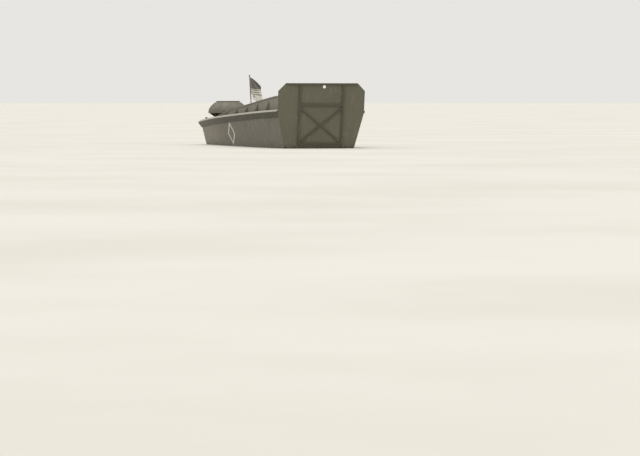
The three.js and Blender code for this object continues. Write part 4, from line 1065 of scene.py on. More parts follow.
def louvre(piece, centre, along, out, size, slat, high, proud):
    """A louvred plate of that size. slat is its slats' length, high how far up and down they go from the
    centre, and proud how far out they stand."""
    piece.block(centre, (*size, 0.005), along, out)
    for up in steps(-high, high, 0.034):
        piece.block(centre + UP * up + out * proud, (slat, 0.022, 0.004), along, out * 0.75 + UP)


def engine_box_fittings():
    """Louvres, catches and strap hinges on the engine box, and handles on its lid."""
    louvres, metal = Piece("box_louvres", "locker"), Piece("box_catches", "fitting")
    on_lid = Piece("lid_handles", "fitting", "engine_lid")
    straps = Piece("lid_straps", "fitting", "engine_lid")
    for side in (-1, 1):
        for x in (-2.10, -1.20):
            centre, out = Vector((x, side * 0.4825, 0.62)), ACROSS * side
            louvre(louvres, centre, AHEAD, out, (0.42, 0.42), 0.36, 0.17, 0.0085)
            spots = grid((x - 0.195, x + 0.195), side * 0.485, (0.43, 0.62, 0.81))
            louvres.heads(spots, out, *TRIM_SCREW)
    for end in (-1, 1):
        for y in (-0.22, 0.22):
            centre = Vector((-1.65 + end * 0.8035, y, 0.60))
            louvre(louvres, centre, ACROSS, AHEAD * end, (0.30, 0.34), 0.25, 0.13, 0.008)
    for x in (-2.2, -1.1):
        metal.block((x, -0.4835, 0.885), (0.045, 0.055, 0.007), AHEAD, -ACROSS)
        metal.rod((x - 0.02, -0.494, 0.90), (x + 0.02, -0.494, 0.90), 0.006)
        metal.block((x, -0.494, 0.87), (0.014, 0.010, 0.06))
        on_lid.block((x, -0.5085, 0.945), (0.05, 0.005, 0.035))
        on_lid.block((x, -0.514, 0.940), (0.018, 0.008, 0.018))
    for x in (-2.0, -1.3):
        middle = Vector((x, -0.508, 0.955))
        handle(on_lid, middle, AHEAD, -ACROSS, 0.07, 0.02, (0.0015, 0.024, 0.037), 0.016)
    for x0, x1 in ((-2.35, -2.13), (-1.17, -0.95)):
        for x in steps(x0 + 0.03, x1 - 0.03, 0.08):
            metal.block((x, 0.4815, 0.915), (0.022, 0.003, 0.085))
            metal.head((x, 0.483, 0.895), ACROSS, *RIVET)
        for dx in (-0.07, 0.07):
            x = (x0 + x1) / 2 + dx
            straps.block((x, 0.330, 0.9845), (0.040, 0.30, 0.004))
            straps.heads(grid(x, (0.21, 0.30, 0.39), 0.9865), UP, 0.009, 0.003)
    straps.heads(grid(steps(-2.44, -0.86, 0.158), (-0.49, 0.478), 0.9825), UP, 0.006, 0.002)
    make(louvres, metal, on_lid, straps)


# The gauges on the pedestal: y, z and radius.
GAUGES = [(0.575, 0.80, 0.036), (0.745, 0.80, 0.036), (0.575, 0.70, 0.030), (0.660, 0.68, 0.030),
          (0.745, 0.70, 0.030)]


def helm_fittings():
    """Blank gauges, levers and a compass on the steering pedestal."""
    faces, dials = Piece("helm_bezels", "fitting"), Piece("helm_dials", "dial")
    levers, dome = Piece("helm_levers", "bronze"), Piece("compass_dome", "glass")
    for y, z, radius in GAUGES:
        spot, inner = Vector((-3.06, y, z)), radius - 0.001
        bezel = [(radius + 0.006, 0), (radius + 0.005, 0.010), (inner, 0.010), (inner, 0.0)]
        faces.turned(spot, -AHEAD, bezel, 32, closed=True)
        dials.turned(spot, -AHEAD, [(inner, 0.001), (inner, 0.004)], 32)
        angle, long = random.uniform(-2.2, 2.2), radius * 0.75
        tip = spot + Vector((-0.0055, math.sin(angle) * long, math.cos(angle) * long))
        faces.rod(spot - AHEAD * 0.0055, tip, 0.0016, 6, 0.0006)
        faces.head(spot - AHEAD * 0.0045, -AHEAD, 0.004, 0.0025)
    for y in (0.60, 0.63, 0.69, 0.72):
        levers.rod((-3.060, y, 0.615), (-3.078, y, 0.615), 0.004, 8)
        levers.turned((-3.076, y, 0.615), -AHEAD, [(0.008, 0), (0.009, 0.006), (0.006, 0.010)], 12)
    compass = Vector((-3.015, 0.66, 0.96))
    bowl = [(0.046, 0), (0.046, 0.006), (0.040, 0.012), (0.040, 0.036), (0.036, 0.038), (0.036, 0.036),
            (0.030, 0.036)]
    faces.turned(compass, UP, bowl, 40)
    dome.turned(compass + UP * 0.034, UP, [(0.035, 0.0), (0.031, 0.016), (0.021, 0.026), (0.008, 0.030)], 40)
    pivot = Vector((-2.95, 0.822, 0.80))
    knob = [(0.006, -0.008), (0.016, 0.004), (0.019, 0.016), (0.016, 0.027), (0.006, 0.033)]
    for lean, long in ((-0.35, 0.30), (0.20, 0.28)):
        foot = pivot + AHEAD * lean * 0.10
        tip = foot + Vector((math.sin(lean) * long, 0.012, math.cos(lean) * long))
        levers.rod(foot, tip, 0.0065, 10, 0.005)
        levers.turned(tip, tip - foot, knob, 20)
        levers.turned(foot - ACROSS * 0.010, ACROSS, [(0.018, 0), (0.018, 0.012), (0.010, 0.018)], 20)
    quadrant = [(-0.085, 0.02), (0.085, 0.02), (0.070, 0.075), (0.0, 0.100), (-0.070, 0.075)]
    faces.prism([pivot + Vector((x, -0.0115, z)) for x, z in quadrant], (0, 0.005, 0))
    for y, out in ((0.51, -1), (0.81, 1)):
        faces.heads(grid((-3.04, -2.82), y, steps(0.10, 0.78, 0.17)), ACROSS * out, *TRIM_SCREW)
    make(faces, dials, dome, levers)


def steering_wheel():
    """The wheel: a wooden rim with turned spokes and a bronze hub."""
    middle, rim = Vector((-3.13, 0.66, 0.87)), 0.2425
    wood, metal = Piece("wheel_rim", "pole", "helm"), Piece("wheel_hub", "bronze", "helm")
    wood.ring(middle, AHEAD, rim, 0.0165, 72, 12)
    spoke = [(0.013, 0.036), (0.013, 0.060), (0.009, 0.072), (0.013, 0.105), (0.0145, 0.140), (0.010, 0.175),
             (0.013, 0.190), (0.009, 0.202), (0.012, 0.230)]
    for cos, sin in circle(6):
        out = Vector((0, -sin, cos))
        wood.turned(middle, out, spoke, 14)
        metal.head(middle + out * rim - AHEAD * 0.0150, -AHEAD, *SMALL_RIVET, 10)
    hub = [(0.024, -0.027), (0.038, -0.025), (0.042, -0.016), (0.042, 0.016), (0.038, 0.026), (0.0158, 0.028),
           (0.0158, 0.1095)]
    metal.turned(middle, AHEAD, hub, 32)
    metal.turned(middle - AHEAD * 0.0255, -AHEAD, [(0.014, 0), (0.013, 0.003), (0.005, 0.0055)], 16)
    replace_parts(wood.make(), "steering_wheel")
    metal.make()


PITS = {"x": -4.6, "y": 0.7}
SHIELD = {"hole": 0.456, "base": 1.0845, "plate": 0.012, "radius": 0.680, "high": 0.462, "ring": 0.400,
          "collar": 0.020, "lip": 0.016}


def shield_line(inset, count=12):
    """(radius, height) along the shield's shoulder, from its eaves up to its ring."""
    reach, rise = SHIELD["radius"] - inset, SHIELD["high"] - inset
    sweep = math.acos((SHIELD["ring"] - inset / 6) / reach)
    eaves = SHIELD["base"] + SHIELD["plate"]
    turns = [sweep * i / count for i in range(count + 1)]
    return [(reach * math.cos(a), eaves + rise * math.sin(a)) for a in turns]


def butt_strap(trims, centre, line, out):
    """A riveted strap over the joint between the shield's halves, on one side of it."""
    rings = []
    for i, (r, z) in enumerate(line):
        before, after = line[max(i - 1, 0)], line[min(i + 1, len(line) - 1)]
        along = Vector((0, out * (after[0] - before[0]), after[1] - before[1])).normalized()
        normal = Vector((0, out * along.z, -out * along.y))
        at = centre + Vector((0, out * r, z))
        section = ((-0.030, -0.002), (-0.030, 0.003), (0.030, 0.003), (0.030, -0.002))
        rings.append([at + AHEAD * x + normal * rise for x, rise in section])
        if 0 < i < len(line) - 1:
            spots = [at + AHEAD * x + normal * 0.003 for x in (-0.020, 0.020)]
            trims.heads(spots, normal, 0.0055, 0.003)
    trims.loft(rings)


def pit_flange(trims, centre):
    """The tub's flange on the sloping deck, with its bolts."""
    section = ((0.471, 0.0), (0.515, 0.0), (0.515, 0.007), (0.477, 0.007), (0.477, 0.040), (0.471, 0.040))
    rings = []
    for i, (cos, sin) in enumerate(circle(72)):
        def place(r, lift):
            x = centre.x + cos * r
            return Vector((x, centre.y + sin * r, deck_at(x) + lift))

        rings.append([place(r, lift) for r, lift in section])
        if i % 4 == 0:
            trims.head(place(0.497, 0.007), UP, 0.009, 0.004)
    trims.loft(rings, closed=True)


def pits():
    """The round pits: smooth tubs and domed shields with their seams, rims, brackets and floor gratings."""
    outer, inner = shield_line(0), shield_line(SHIELD["plate"])
    ring, lip, hole, base = (SHIELD[key] for key in ("ring", "lip", "hole", "base"))
    top = outer[-1][1] + SHIELD["collar"]
    skin = [(hole, base), (SHIELD["radius"], base), *outer, (ring, top), (ring - lip, top), *reversed(inner),
            (hole, base + SHIELD["plate"])]
    tub_skin = [(0.001, 0.35), (0.47, 0.35), (0.47, 1.084), (hole, 1.084), (hole, 0.364), (0.001, 0.364)]
    for name, side in SIDES.items():
        centre = Vector((PITS["x"], side * PITS["y"], 0))
        shell, trims = Piece("shield_" + name, "shield"), Piece("shield_trim_" + name, "shield")
        tub, grating = Piece("tub_" + name, "tub"), Piece("pit_grating_" + name, "tread")
        shell.turned(centre, UP, skin, 96, closed=True)
        tub.turned(centre, UP, tub_skin, 80)
        for out in (-1, 1):
            butt_strap(trims, centre, [*outer, (ring + 0.001, top - 0.002)], out)
        trims.ring(centre + UP * (base + 0.005), UP, SHIELD["radius"] - 0.002, 0.008, 96)
        trims.ring(centre + UP * (top + 0.001), UP, ring - lip / 2, 0.0105, 80)
        for cos, sin in circle(32, 0.5):
            out = Vector((cos, sin, 0))
            trims.head(centre + out * (ring + 0.0002) + UP * (top - 0.013), out, 0.005, 0.0025)
        for cos, sin in circle(14, 0.5):
            out, beside = Vector((cos, sin, 0)), Vector((-sin, cos, 0)) * 0.005
            corner = centre + out * 0.4705 + UP * 1.0835 - beside
            bracket = ((0, 0), (0.165, 0), (0.165, -0.02), (0, -0.13))
            trims.prism([corner + out * r + UP * z for r, z in bracket], beside * 2)
        pit_flange(trims, centre)
        for dy in steps(-0.36, 0.36, 0.09):
            grating.block(centre + Vector((0, dy, 0.392)), (2 * math.sqrt(0.44 ** 2 - dy ** 2), 0.055, 0.022))
        for dx in (-0.25, 0.25):
            size = (0.045, 2 * math.sqrt(0.42 ** 2 - dx ** 2), 0.016)
            grating.block(centre + Vector((dx, 0, 0.3725)), size)
        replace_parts(shell.make(), "pit_shield_fore_" + name, "pit_shield_aft_" + name)
        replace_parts(tub.make(), "pit_tub_" + name)
        make(trims, grating)


def stern_fittings():
    """The stern deck's vents, fillers and chocks, the hatch's hinges and handle, and the outlets under it."""
    vents, fillers = Piece("deck_vents", "fitting"), Piece("deck_fillers", "bronze")
    lid, outlets = Piece("hatch_handle", "fitting", "stern_lid"), Piece("outlets", "iron")
    cowl = [(0.060, 0.050), (0.078, 0.056), (0.080, 0.066), (0.062, 0.084), (0.030, 0.094), (0.004, 0.096)]
    plug = [(0.052, -0.003), (0.052, 0.004), (0.044, 0.008), (0.034, 0.008), (0.032, 0.005), (0.004, 0.005)]
    for y in (-0.52, 0.52):
        spot = Vector((-5.28, y, deck_at(-5.28)))
        vents.turned(spot, UP, [(0.075, -0.004), (0.075, 0.006), (0.048, 0.010), (0.048, 0.055)], 28)
        vents.turned(spot, UP, cowl, 32)
        vents.heads(around(spot + UP * 0.007, AHEAD * 0.062, ACROSS * 0.062, 6), UP, *SMALL_RIVET)
    for side in (-1, 1):
        for x in (-3.55, -2.9):
            spot = on_deck(x, side * 1.40)
            fillers.turned(spot, UP, plug, 32)
            fillers.block(spot + UP * 0.007, (0.056, 0.010, 0.005))
        chock = Vector((-5.455, side * 1.02, deck_at(-5.455)))
        vents.block(chock + UP * 0.006, (0.06, 0.20, 0.012))
        for end in (-1, 1):
            horn = ((0.085, 0.006), (0.086, 0.040), (0.070, 0.062), (0.030, 0.066))
            vents.tube([chock + Vector((0, end * y, z)) for y, z in horn], 0.014, 10)
            vents.head(chock + Vector((0.02, end * 0.075, 0.012)), UP, *PLATE_RIVET)
    for y in (-0.105, 0.105):
        lid.block((-5.385, y, 0.9170), (0.15, 0.034, 0.003))
        lid.heads(grid((-5.43, -5.375, -5.325), y, 0.9185), UP, 0.007, 0.0025)
    handle(lid, Vector((-5.150, 0, 0.916)), ACROSS, UP, 0.055, 0.015, (0.0005, 0.022, 0.032), 0.015)
    lid.heads(grid((-5.46, -5.105), steps(-0.225, 0.225, 0.09), 0.9155), UP, 0.005, 0.002)
    pipe = [(0.085, -0.004), (0.085, 0.008), (0.050, 0.010), (0.050, 0.044), (0.043, 0.044), (0.043, -0.004)]
    for y in (-0.62, 0.62):
        spot, aft = from_astern(y, 0.20)
        outlets.turned(spot, aft, pipe, 36, closed=True)
        outlets.nuts(around(spot + aft * 0.008, ACROSS * 0.068, UP * 0.068, 8, 0.5), aft, 0.009, 0.006)
    drain = [(0.034, -0.002), (0.033, 0.006), (0.019, 0.009), (0.018, -0.002)]
    for y, z in ((-0.95, 0.52), (0.95, 0.52), (0.3, 0.44)):
        outlets.turned(*from_astern(y, z), drain, 24, closed=True)
    make(vents, fillers, lid, outlets)


def posts_and_cleats():
    """The towing post and the stern cleats, turned smooth."""
    x, foot = -4.98, deck_at(-4.98)
    post, high = Piece("towing_bitt", "fitting"), deck_at(-4.98) + 0.29
    post.block((x, 0, foot + 0.008), (0.18, 0.18, 0.016), (1, 0, DECK_SLOPE))
    shaft = [(0.060, foot + 0.014), (0.050, foot + 0.034), (0.047, foot + 0.05), (0.047, high - 0.012),
             (0.057, high - 0.002), (0.058, high + 0.008), (0.050, high + 0.0135), (0.010, high + 0.0165)]
    post.turned((x, 0, 0), UP, shaft, 40)
    for end in (-1, 1):
        arm = [(0.016, 0.03), (0.0145, 0.07), (0.016, 0.098), (0.011, 0.1045)]
        post.turned((x, 0, high - 0.08), ACROSS * end, arm, 20)
    for dx, dy in four(0.068, 0.068):
        post.nut((x + dx, dy, foot + 0.017 + dx * DECK_SLOPE), UP, 0.014, 0.009)
    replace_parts(post.make(), "towing_post")
    half_horn = [(0.019, 0.045), (0.015, 0.10), (0.013, 0.142), (0.006, 0.1495)]
    horn = [(r, -a) for r, a in reversed(half_horn)] + half_horn
    for name, side in SIDES.items():
        cleat = Piece("cleat_" + name, "fitting")
        foot = Vector((-5.3, side * 1.31, deck_at(-5.3)))
        cleat.block(foot + UP * 0.006, (0.14, 0.078, 0.012), (1, 0, 0.06))
        for dx in (-0.040, 0.040):
            leg = [(0.030, 0.010), (0.021, 0.022), (0.018, 0.045), (0.020, 0.074)]
            cleat.turned(foot + AHEAD * dx, UP, leg, 20)
        cleat.turned(foot + UP * 0.080, AHEAD, horn, 20)
        for dx, dy in four(0.060, 0.026):
            cleat.head(foot + Vector((dx, dy, 0.012 + dx * 0.06)), UP, *RIVET)
        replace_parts(cleat.make(), "stern_cleat_" + name)


STAFF = {"x": -3.962, "lean": 0.274, "top": 2.3865, "tip": 2.4}


def staff_at(z):
    """The middle of the leaning staff at height z."""
    return Vector((STAFF["x"] - STAFF["lean"] * (z - deck_at(STAFF["x"])), 0, z))


def staff_and_halyard():
    """The staff with its truck, its socket and cleat on the deck, and the taut halyard; gives the staff."""
    pole, fittings = Piece("staff_pole", "pole"), Piece("staff_socket", "fitting")
    line = Piece("staff_halyard", "rope")
    height = deck_at(STAFF["x"])
    foot = staff_at(height)
    along = (staff_at(STAFF["tip"]) - foot).normalized()
    long = (staff_at(STAFF["top"]) - foot).length
    truck = [(0.0115, -0.055), (0.018, -0.040), (0.0255, -0.022), (0.0255, -0.010), (0.017, 0.006),
             (0.004, 0.0125)]
    profile = [(0.015, 0.06), (0.0155, 0.4), (0.0140, 0.9)] + [(r, long + up) for r, up in truck]
    pole.turned(foot, along, profile)
    fittings.block(foot + UP * 0.0055, (0.11, 0.10, 0.011), (1, 0, DECK_SLOPE))
    socket = [(0.030, 0.004), (0.026, 0.03), (0.025, 0.140), (0.028, 0.150), (0.018, 0.153)]
    fittings.turned(foot, along, socket, 28)
    for dx, dy in four(0.042, 0.036):
        fittings.head(foot + Vector((dx, dy, 0.011 + dx * DECK_SLOPE)), UP, *RIVET)
    low = staff_at(height + 0.30)
    cleat = low - ACROSS * 0.026
    fittings.rod(low + Vector((0, -0.014, -0.045)), cleat, 0.004, 8)
    fittings.rod(cleat - UP * 0.05, cleat + UP * 0.05, 0.006, 8)
    for dy in (-0.020, 0.018):
        passing = staff_at(1.6) + Vector((0.004, dy * 0.9, 0))
        line.tube([low - ACROSS * 0.024, passing, staff_at(2.36) + ACROSS * dy * 0.55], 0.0028, 6)
    made = pole.make()
    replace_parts(made, "ensign_staff")
    make(fittings, line)
    return made


# The ensign hangs in folds: how far to port, how far aft, and how high its edges are, along its length.
FOLD_Y = [(0.0, 0.017), (0.34, 0.378), (0.58, 0.080), (0.81, 0.345), (1.0, 0.150)]
FOLD_X = [(0.0, 0.0), (0.29, 0.0), (0.38, -0.026), (0.54, -0.030), (0.63, -0.052), (0.77, -0.056),
          (0.85, -0.078), (1.0, -0.084)]
FOLD_TOP = [(0.0, 2.335), (0.10, 2.275), (0.16, 2.20), (0.21, 2.12), (0.265, 2.03), (0.34, 1.95),
            (0.58, 2.03), (0.81, 1.82), (1.0, 1.85)]
FOLD_FOOT = [(0.0, 1.735), (0.34, 1.500), (0.58, 1.530), (0.81, 1.470), (1.0, 1.510)]
FOOT_FLARE = 0.20  # share by which the folds stand further out at the foot
CLOTH_CELLS = (160, 72)  # along and down


def cloth_point(u, v):
    """The ensign's point at a share u of its length from the staff and v of its height from the top."""
    top = blended(FOLD_TOP, u)[0] + 0.012 * math.sin(7 * u)
    z = top + (blended(FOLD_FOOT, u, eased=True)[0] - top) * v
    y = blended(FOLD_Y, u, eased=True)[0]
    drop = FOLD_TOP[0][1] - z
    away = math.hypot(y, drop)
    angle = math.atan2(y, drop) if away > 0.01 else 0.0
    held = min(1.0, u * 14)  # the pleats start flat at the staff
    pleat = math.sin(angle * 15 + 5 * u) * 0.028 * min(1.0, away / 0.45) * held
    small = math.sin(angle * 37 + 11 * u + 3 * v) * 0.005 * min(1.0, away / 0.3) * held
    x = staff_at(z).x + blended(FOLD_X, u, eased=True)[0] + pleat + small
    wave = 0.010 * math.sin(9 * v + 6 * u) * v * min(1.0, u * 8)
    return (x, y + wave + FOOT_FLARE * v * v * (y - FOLD_Y[0][1]), z)


def ensign(pole):
    """The ensign in its folds, and its lashings to the staff."""
    long, high = CLOTH_CELLS
    mesh = bmesh.new()
    rows = []
    for j in range(high + 1):
        rows.append([mesh.verts.new(cloth_point(i / long, j / high)) for i in range(long + 1)])
    for a, b in zip(rows, rows[1:]):
        for i in range(long):
            mesh.faces.new((a[i], a[i + 1], b[i + 1], b[i])).smooth = True
    cloth = to_object(mesh, "ensign_cloth", FINISH["cloth"])
    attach(cloth, "hull")
    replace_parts(cloth, "ensign")
    lashings = Piece("ensign_lashings", "rope")
    along = (staff_at(STAFF["tip"]) - staff_at(0)).normalized()
    for z in (2.318, 2.04, 1.76):
        lashings.ring(staff_at(z), along, 0.0175, 0.0030, 24, 6)
    tied = lashings.make()


# A blade's edges: radius, then how far its after and fore edges lie from its middle line.
BLADE_EDGES = [(0.040, -0.030, 0.030), (0.080, -0.047, 0.044), (0.120, -0.062, 0.059), (0.160, -0.076, 0.069),
               (0.200, -0.086, 0.077), (0.230, -0.084, 0.073), (0.252, -0.070, 0.062), (0.268, -0.046, 0.040),
               (0.277, -0.016, 0.014)]
SCREW_MIDDLE = Vector((-4.66, 0, -0.48))
SHAFT_SLOPE = math.radians(5)


def propeller():
    """Three twisted blades on a hub, with the nut and the shaft."""
    piece, count = Piece("screw_blades", "bronze", "screw"), 9
    face = [(t / count, 0.25) for t in range(count + 1)] + [(1 - t / count, -1.0) for t in range(1, count)]
    for i in range(3):
        turn = Matrix.Rotation(-SHAFT_SLOPE, 3, "Y") @ Matrix.Rotation(2 * math.pi * i / 3, 3, "X")
        rings = []
        for radius, near, far in BLADE_EDGES:
            outward = (radius - 0.04) / 0.239  # 0 at the root and 1 at the tip
            pitch, thick = math.radians(52 - 24 * outward), 0.0075 - 0.0050 * outward
            ring = []
            for t, sign in face:
                w = near + (far - near) * t
                rise = sign * thick * math.sqrt(max(0.0, 4 * t * (1 - t))) * 1.6
                x = w * math.sin(pitch) + rise * math.cos(pitch)
                y = w * math.cos(pitch) - rise * math.sin(pitch)
                ring.append(SCREW_MIDDLE + turn @ Vector((x, y, radius)))
            rings.append(ring)
        piece.loft(rings)
    ahead = Vector((math.cos(SHAFT_SLOPE), 0, math.sin(SHAFT_SLOPE)))
    hub = [(0.0225, 0.078), (0.046, 0.075), (0.0515, 0.055), (0.052, -0.055), (0.048, -0.073),
           (0.044, -0.075), (0.043, -0.082), (0.036, -0.105), (0.024, -0.128), (0.010, -0.1345)]
    piece.turned(SCREW_MIDDLE, ahead, hub, 40)
    piece.turned(SCREW_MIDDLE, ahead, [(0.022, 0.06), (0.022, 2.349)])
    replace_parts(piece.make(), "propeller")


# A rudder band's fore and after part: x and y where each starts and ends, and its thickness.
BAND_PARTS = [(-5.02, 0.0245, -5.10, 0.0285, 0.004), (-5.10, 0.0275, -5.32, 0.0112, 0.005)]


def underwater():
    """Zinc blocks, the heel's straps, the rudder's bands, intake grilles and the stock's gland."""
    zincs, straps = Piece("zinc_blocks", "zinc"), Piece("heel_straps", "iron")
    bands, grilles = Piece("rudder_bands", "iron", "rudder"), Piece("intake_grilles", "bronze")
    for side in (-1, 1):
        out = ACROSS * side
        for x in (-3.9, -3.2):
            zincs.block((x, side * 0.056, -0.50), (0.24, 0.07, 0.022), AHEAD, out)
            zincs.nuts(grid((x - 0.09, x + 0.09), side * 0.066, -0.50), out, 0.012, 0.008)
        straps.block((-5.13, side * 0.0475, -0.868), (0.50, 0.05, 0.005), AHEAD, out)
        straps.block((-4.42, side * 0.0475, -0.70), (0.06, 0.30, 0.005), AHEAD, out)
        along_heel = grid((-5.33, -5.20, -5.00, -4.92), side * 0.050, -0.868)
        up_post = grid(-4.42, side * 0.050, (-0.58, -0.66, -0.74, -0.82))
        straps.heads(along_heel + up_post, out, 0.010, 0.004)
        for x in (-2.6, -0.9):
            point, normal = from_below(x, side * 0.42)
            grilles.block(point + normal * 0.002, (0.24, 0.16, 0.006), AHEAD, normal)
            across = normal.cross(AHEAD)
            for beside in steps(-0.055, 0.055, 0.022):
                bar = point + normal * 0.008 + across * beside
                grilles.block(bar, (0.20, 0.008, 0.008), AHEAD, normal)
        for z in (-0.30, -0.50, -0.70):
            for x0, y0, x1, y1, thick in BAND_PARTS:
                ends = ((x0, y0, -0.025), (x0, y0, 0.025), (x1, y1, 0.025), (x1, y1, -0.025))
                bands.prism([(x, side * y, z + dz) for x, y, dz in ends], out * thick)
            for x in (-5.07, -5.16, -5.23, -5.30):
                y = 0.032 - max(0.0, -5.10 - x) * 0.0715
                bands.head((x, side * y, z), out, *RIVET)
    gland = [(0.052, 0.0), (0.050, 0.045), (0.027, 0.045), (0.027, 0.0)]
    grilles.turned((-5.1, 0, -0.188), UP, gland, 32, closed=True)
    make(zincs, straps, bands, grilles)


CYLINDERS = steps(-1.98, -1.22, 0.152)  # where each of the engine's six is, along x


def engine_block(block):
    """The engine's crankcase, heads, covers, gear, dynamo, air cleaner and the bearers it stands on."""
    for side in (-1, 1):
        block.block((-1.65, side * 0.265, -0.325), (1.54, 0.068, 0.19))
        for x in (-2.05, -1.25):
            block.block((x, side * 0.225, -0.205), (0.12, 0.13, 0.04))
    block.block((-1.60, 0, 0.14), (0.92, 0.34, 0.40))
    block.block((-1.60, 0, -0.16), (0.80, 0.25, 0.22))
    block.block((-1.60, 0, 0.385), (0.92, 0.26, 0.10))
    cover = [(-0.095, 0.435), (-0.095, 0.52), (-0.060, 0.555), (0.060, 0.555), (0.095, 0.52), (0.095, 0.435)]
    block.prism([(-2.03, y, z) for y, z in cover], (0.86, 0, 0))
    for x in CYLINDERS:
        block.turned((x, 0.165, 0.12), ACROSS, [(0.062, 0), (0.062, 0.014), (0.050, 0.022)], 28)
    gear = [(0.255, 0.0), (0.262, 0.012), (0.262, 0.10), (0.215, 0.14), (0.150, 0.16), (0.150, 0.22),
            (0.11, 0.235)]
    block.turned((-2.06, 0, 0.02), -AHEAD, gear, 48)
    block.turned((-2.24, 0, -0.20), -AHEAD, [(0.13, 0.0), (0.13, 0.02), (0.075, 0.030), (0.06, 0.058)], 32)
    front = [(0.15, 0), (0.15, 0.03), (0.10, 0.04), (0.04, 0.05), (0.04, 0.06)]
    block.turned((-1.14, 0, 0.08), AHEAD, front, 36)
    block.rod((-1.33, 0.19, 0.40), (-1.09, 0.19, 0.40), 0.062, 28)
    cleaner = [(0.050, 0), (0.050, 0.03), (0.092, 0.035), (0.095, 0.045), (0.095, 0.125), (0.080, 0.138),
               (0.01, 0.142)]
    block.turned((-1.38, 0.0, 0.555), UP, cleaner, 36)


def engine_iron(dark):
    """The engine's nuts, caps, exhaust, pulleys, belt, hose and filter."""
    dark.nuts(grid((-2.05, -1.25), (-0.255, 0.255), -0.185), UP, 0.018, 0.014)
    dark.nuts(grid(CYLINDERS, (-0.112, 0.112), 0.435), UP, 0.012, 0.010)
    dark.nuts(grid(CYLINDERS, 0.186, 0.12), ACROSS, 0.014, 0.012)
    for x in (-1.9, -1.6, -1.3):
        dark.turned((x, 0, 0.555), UP, [(0.022, 0), (0.024, 0.010), (0.010, 0.022)], 16)
    for x in CYLINDERS:
        dark.rod((x, -0.12, 0.385), (x, -0.205, 0.385), 0.028, 16)
    dark.rod((-2.06, -0.225, 0.385), (-1.12, -0.225, 0.385), 0.052, 24)
    exhaust = [(-2.05, -0.225, 0.385), (-2.15, -0.225, 0.37), (-2.22, -0.22, 0.28), (-2.24, -0.215, 0.10),
               (-2.25, -0.21, -0.10)]
    dark.tube(exhaust, 0.042, 16)
    dark.nuts(around((-2.075, 0, 0.02), ACROSS * 0.240, UP * 0.240, 14), AHEAD, 0.011, 0.008)
    dark.turned((-1.085, 0, -0.02), AHEAD, [(0.085, 0), (0.072, 0.012), (0.072, 0.020), (0.085, 0.032)], 36)
    dark.turned((-1.085, 0.19, 0.40), AHEAD, [(0.048, 0), (0.038, 0.010), (0.038, 0.020), (0.048, 0.030)], 28)
    belt = [(-0.080, -0.02), (-0.055, -0.085), (0.0, -0.100), (0.070, -0.062), (0.232, 0.385), (0.215, 0.435),
            (0.165, 0.440)]
    dark.tube([(-1.069, y, z) for y, z in belt], 0.008, closed=True)
    hose = [(-1.15, -0.07, 0.42), (-1.06, -0.08, 0.43), (-1.03, -0.10, 0.30), (-1.05, -0.12, 0.10),
            (-1.14, -0.12, 0.05)]
    dark.tube(hose, 0.024, 12)
    dark.rod((-1.75, 0.235, 0.02), (-1.75, 0.235, 0.20), 0.045, 24)


def engine():
    """An inline diesel with its gear, manifolds, covers and lines, on two bearers."""
    block, lines = Piece("engine_block", "engine"), Piece("engine_lines", "steel")
    dark = Piece("engine_fittings", "iron")
    engine_block(block)
    engine_iron(dark)
    for x in CYLINDERS:
        spill = ((0.10, 0.45), (0.155, 0.46), (0.185, 0.40), (0.18, 0.27))
        lines.tube([(x + 0.03, y, z) for y, z in spill], 0.005)
    lines.rod((-2.05, 0.19, 0.26), (-1.18, 0.19, 0.26), 0.009, 10)
    feed = [(-1.98, 0.20, 0.05), (-2.0, 0.235, -0.02), (-1.85, 0.245, -0.06), (-1.5, 0.245, -0.06),
            (-1.35, 0.235, 0.0), (-1.35, 0.21, 0.06)]
    lines.tube(feed, 0.007)
    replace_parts(block.make(), "engine")
    make(dark, lines)


hull_outside()
lozenges()
ramp_outside()
ramp_inside()
coaming_fittings()
rollers()
ramp_wires()
winch_fittings()
sheaves()
well_fittings()
engine_box_fittings()
engine()
helm_fittings()
steering_wheel()
pits()
stern_fittings()
posts_and_cleats()
ensign(staff_and_halyard())
propeller()
underwater()


# The floor lies at the waterline and is open inside the hull. Light comes softly from all round.
FLOOR_INSIDE = 0.012  # how far inside the planking's face its edge lies
FLOOR_REACH = (8, 30, 150, 900, 5000)  # its rings' radii


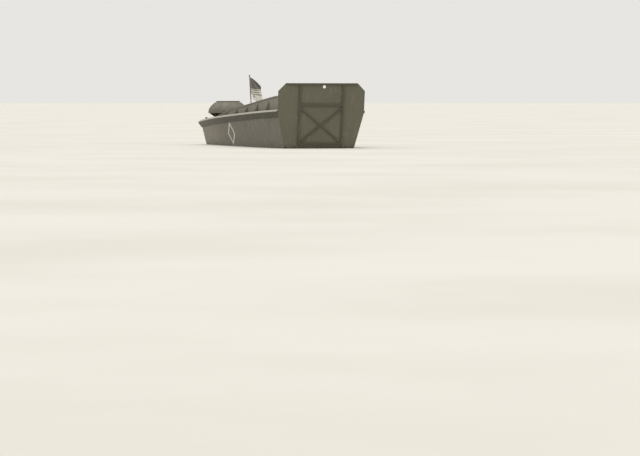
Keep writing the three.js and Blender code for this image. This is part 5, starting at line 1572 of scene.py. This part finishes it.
def hull_outline():
    """The hull's half-breadth at the floor as (x, y) pairs, a little inside the planking."""
    cast = caster("side_planking_port", "bottom_planking", "transom", "headlog")
    low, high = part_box("transom")[0].x + FLOOR_INSIDE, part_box("bottom_planking")[1].x - 0.02
    hits = [(x, cast((x, 3, 0.0), (0, -1, 0))) for x in steps(low, high, 0.25)]
    return [(x, hit[0].y - FLOOR_INSIDE) for x, hit in hits if hit]


def make_floor():
    """A pale floor from the hull's outline out to the horizon."""
    pairs = hull_outline()
    outline = [Vector((x, y, 0)) for x, y in pairs] + [Vector((x, -y, 0)) for x, y in reversed(pairs)]
    mesh = bmesh.new()
    rings = [outline] + [[p.normalized() * radius for p in outline] for radius in FLOOR_REACH]
    rows = [[mesh.verts.new(p) for p in ring] for ring in rings]
    for inner, outer in zip(rows, rows[1:]):
        for k in range(len(inner)):
            n = (k + 1) % len(inner)
            mesh.faces.new((inner[k], inner[n], outer[n], outer[k]))
    bmesh.ops.recalc_face_normals(mesh, faces=mesh.faces)
    s = Shader("pale_floor", colour(206, 203, 194))
    s.coat(s.band(s.noise(0.15, detail=4), 0.3, 0.7), colour(214, 211, 203))
    to_object(mesh, "floor", s.finish(0.85))


def soft_sun(name, toward, spread, strength, tint):
    """A sun shining toward a direction, as wide as the spread in degrees."""
    data = bpy.data.lights.new(name, "SUN")
    data.angle = math.radians(spread)
    data.energy = strength
    data.color = tint
    placed(name, data).rotation_euler = Vector(toward).to_track_quat("-Z", "Y").to_euler()


def make_light():
    """Even light from all round, and two wide suns."""
    world = bpy.data.worlds.new("studio")
    world.use_nodes = True
    background = world.node_tree.nodes["Background"]
    background.inputs["Color"].default_value = (1.0, 0.985, 0.955, 1)
    background.inputs["Strength"].default_value = 0.80
    bpy.context.scene.world = world
    soft_sun("overhead", (-0.12, 0.10, -1), 55, 1.35, (1.0, 0.99, 0.97))
    soft_sun("from_the_bow", (-1, 0.45, -0.75), 30, 0.55, (1.0, 0.985, 0.96))
    bpy.context.scene.view_settings.view_transform = "Standard"


make_floor()
make_light()
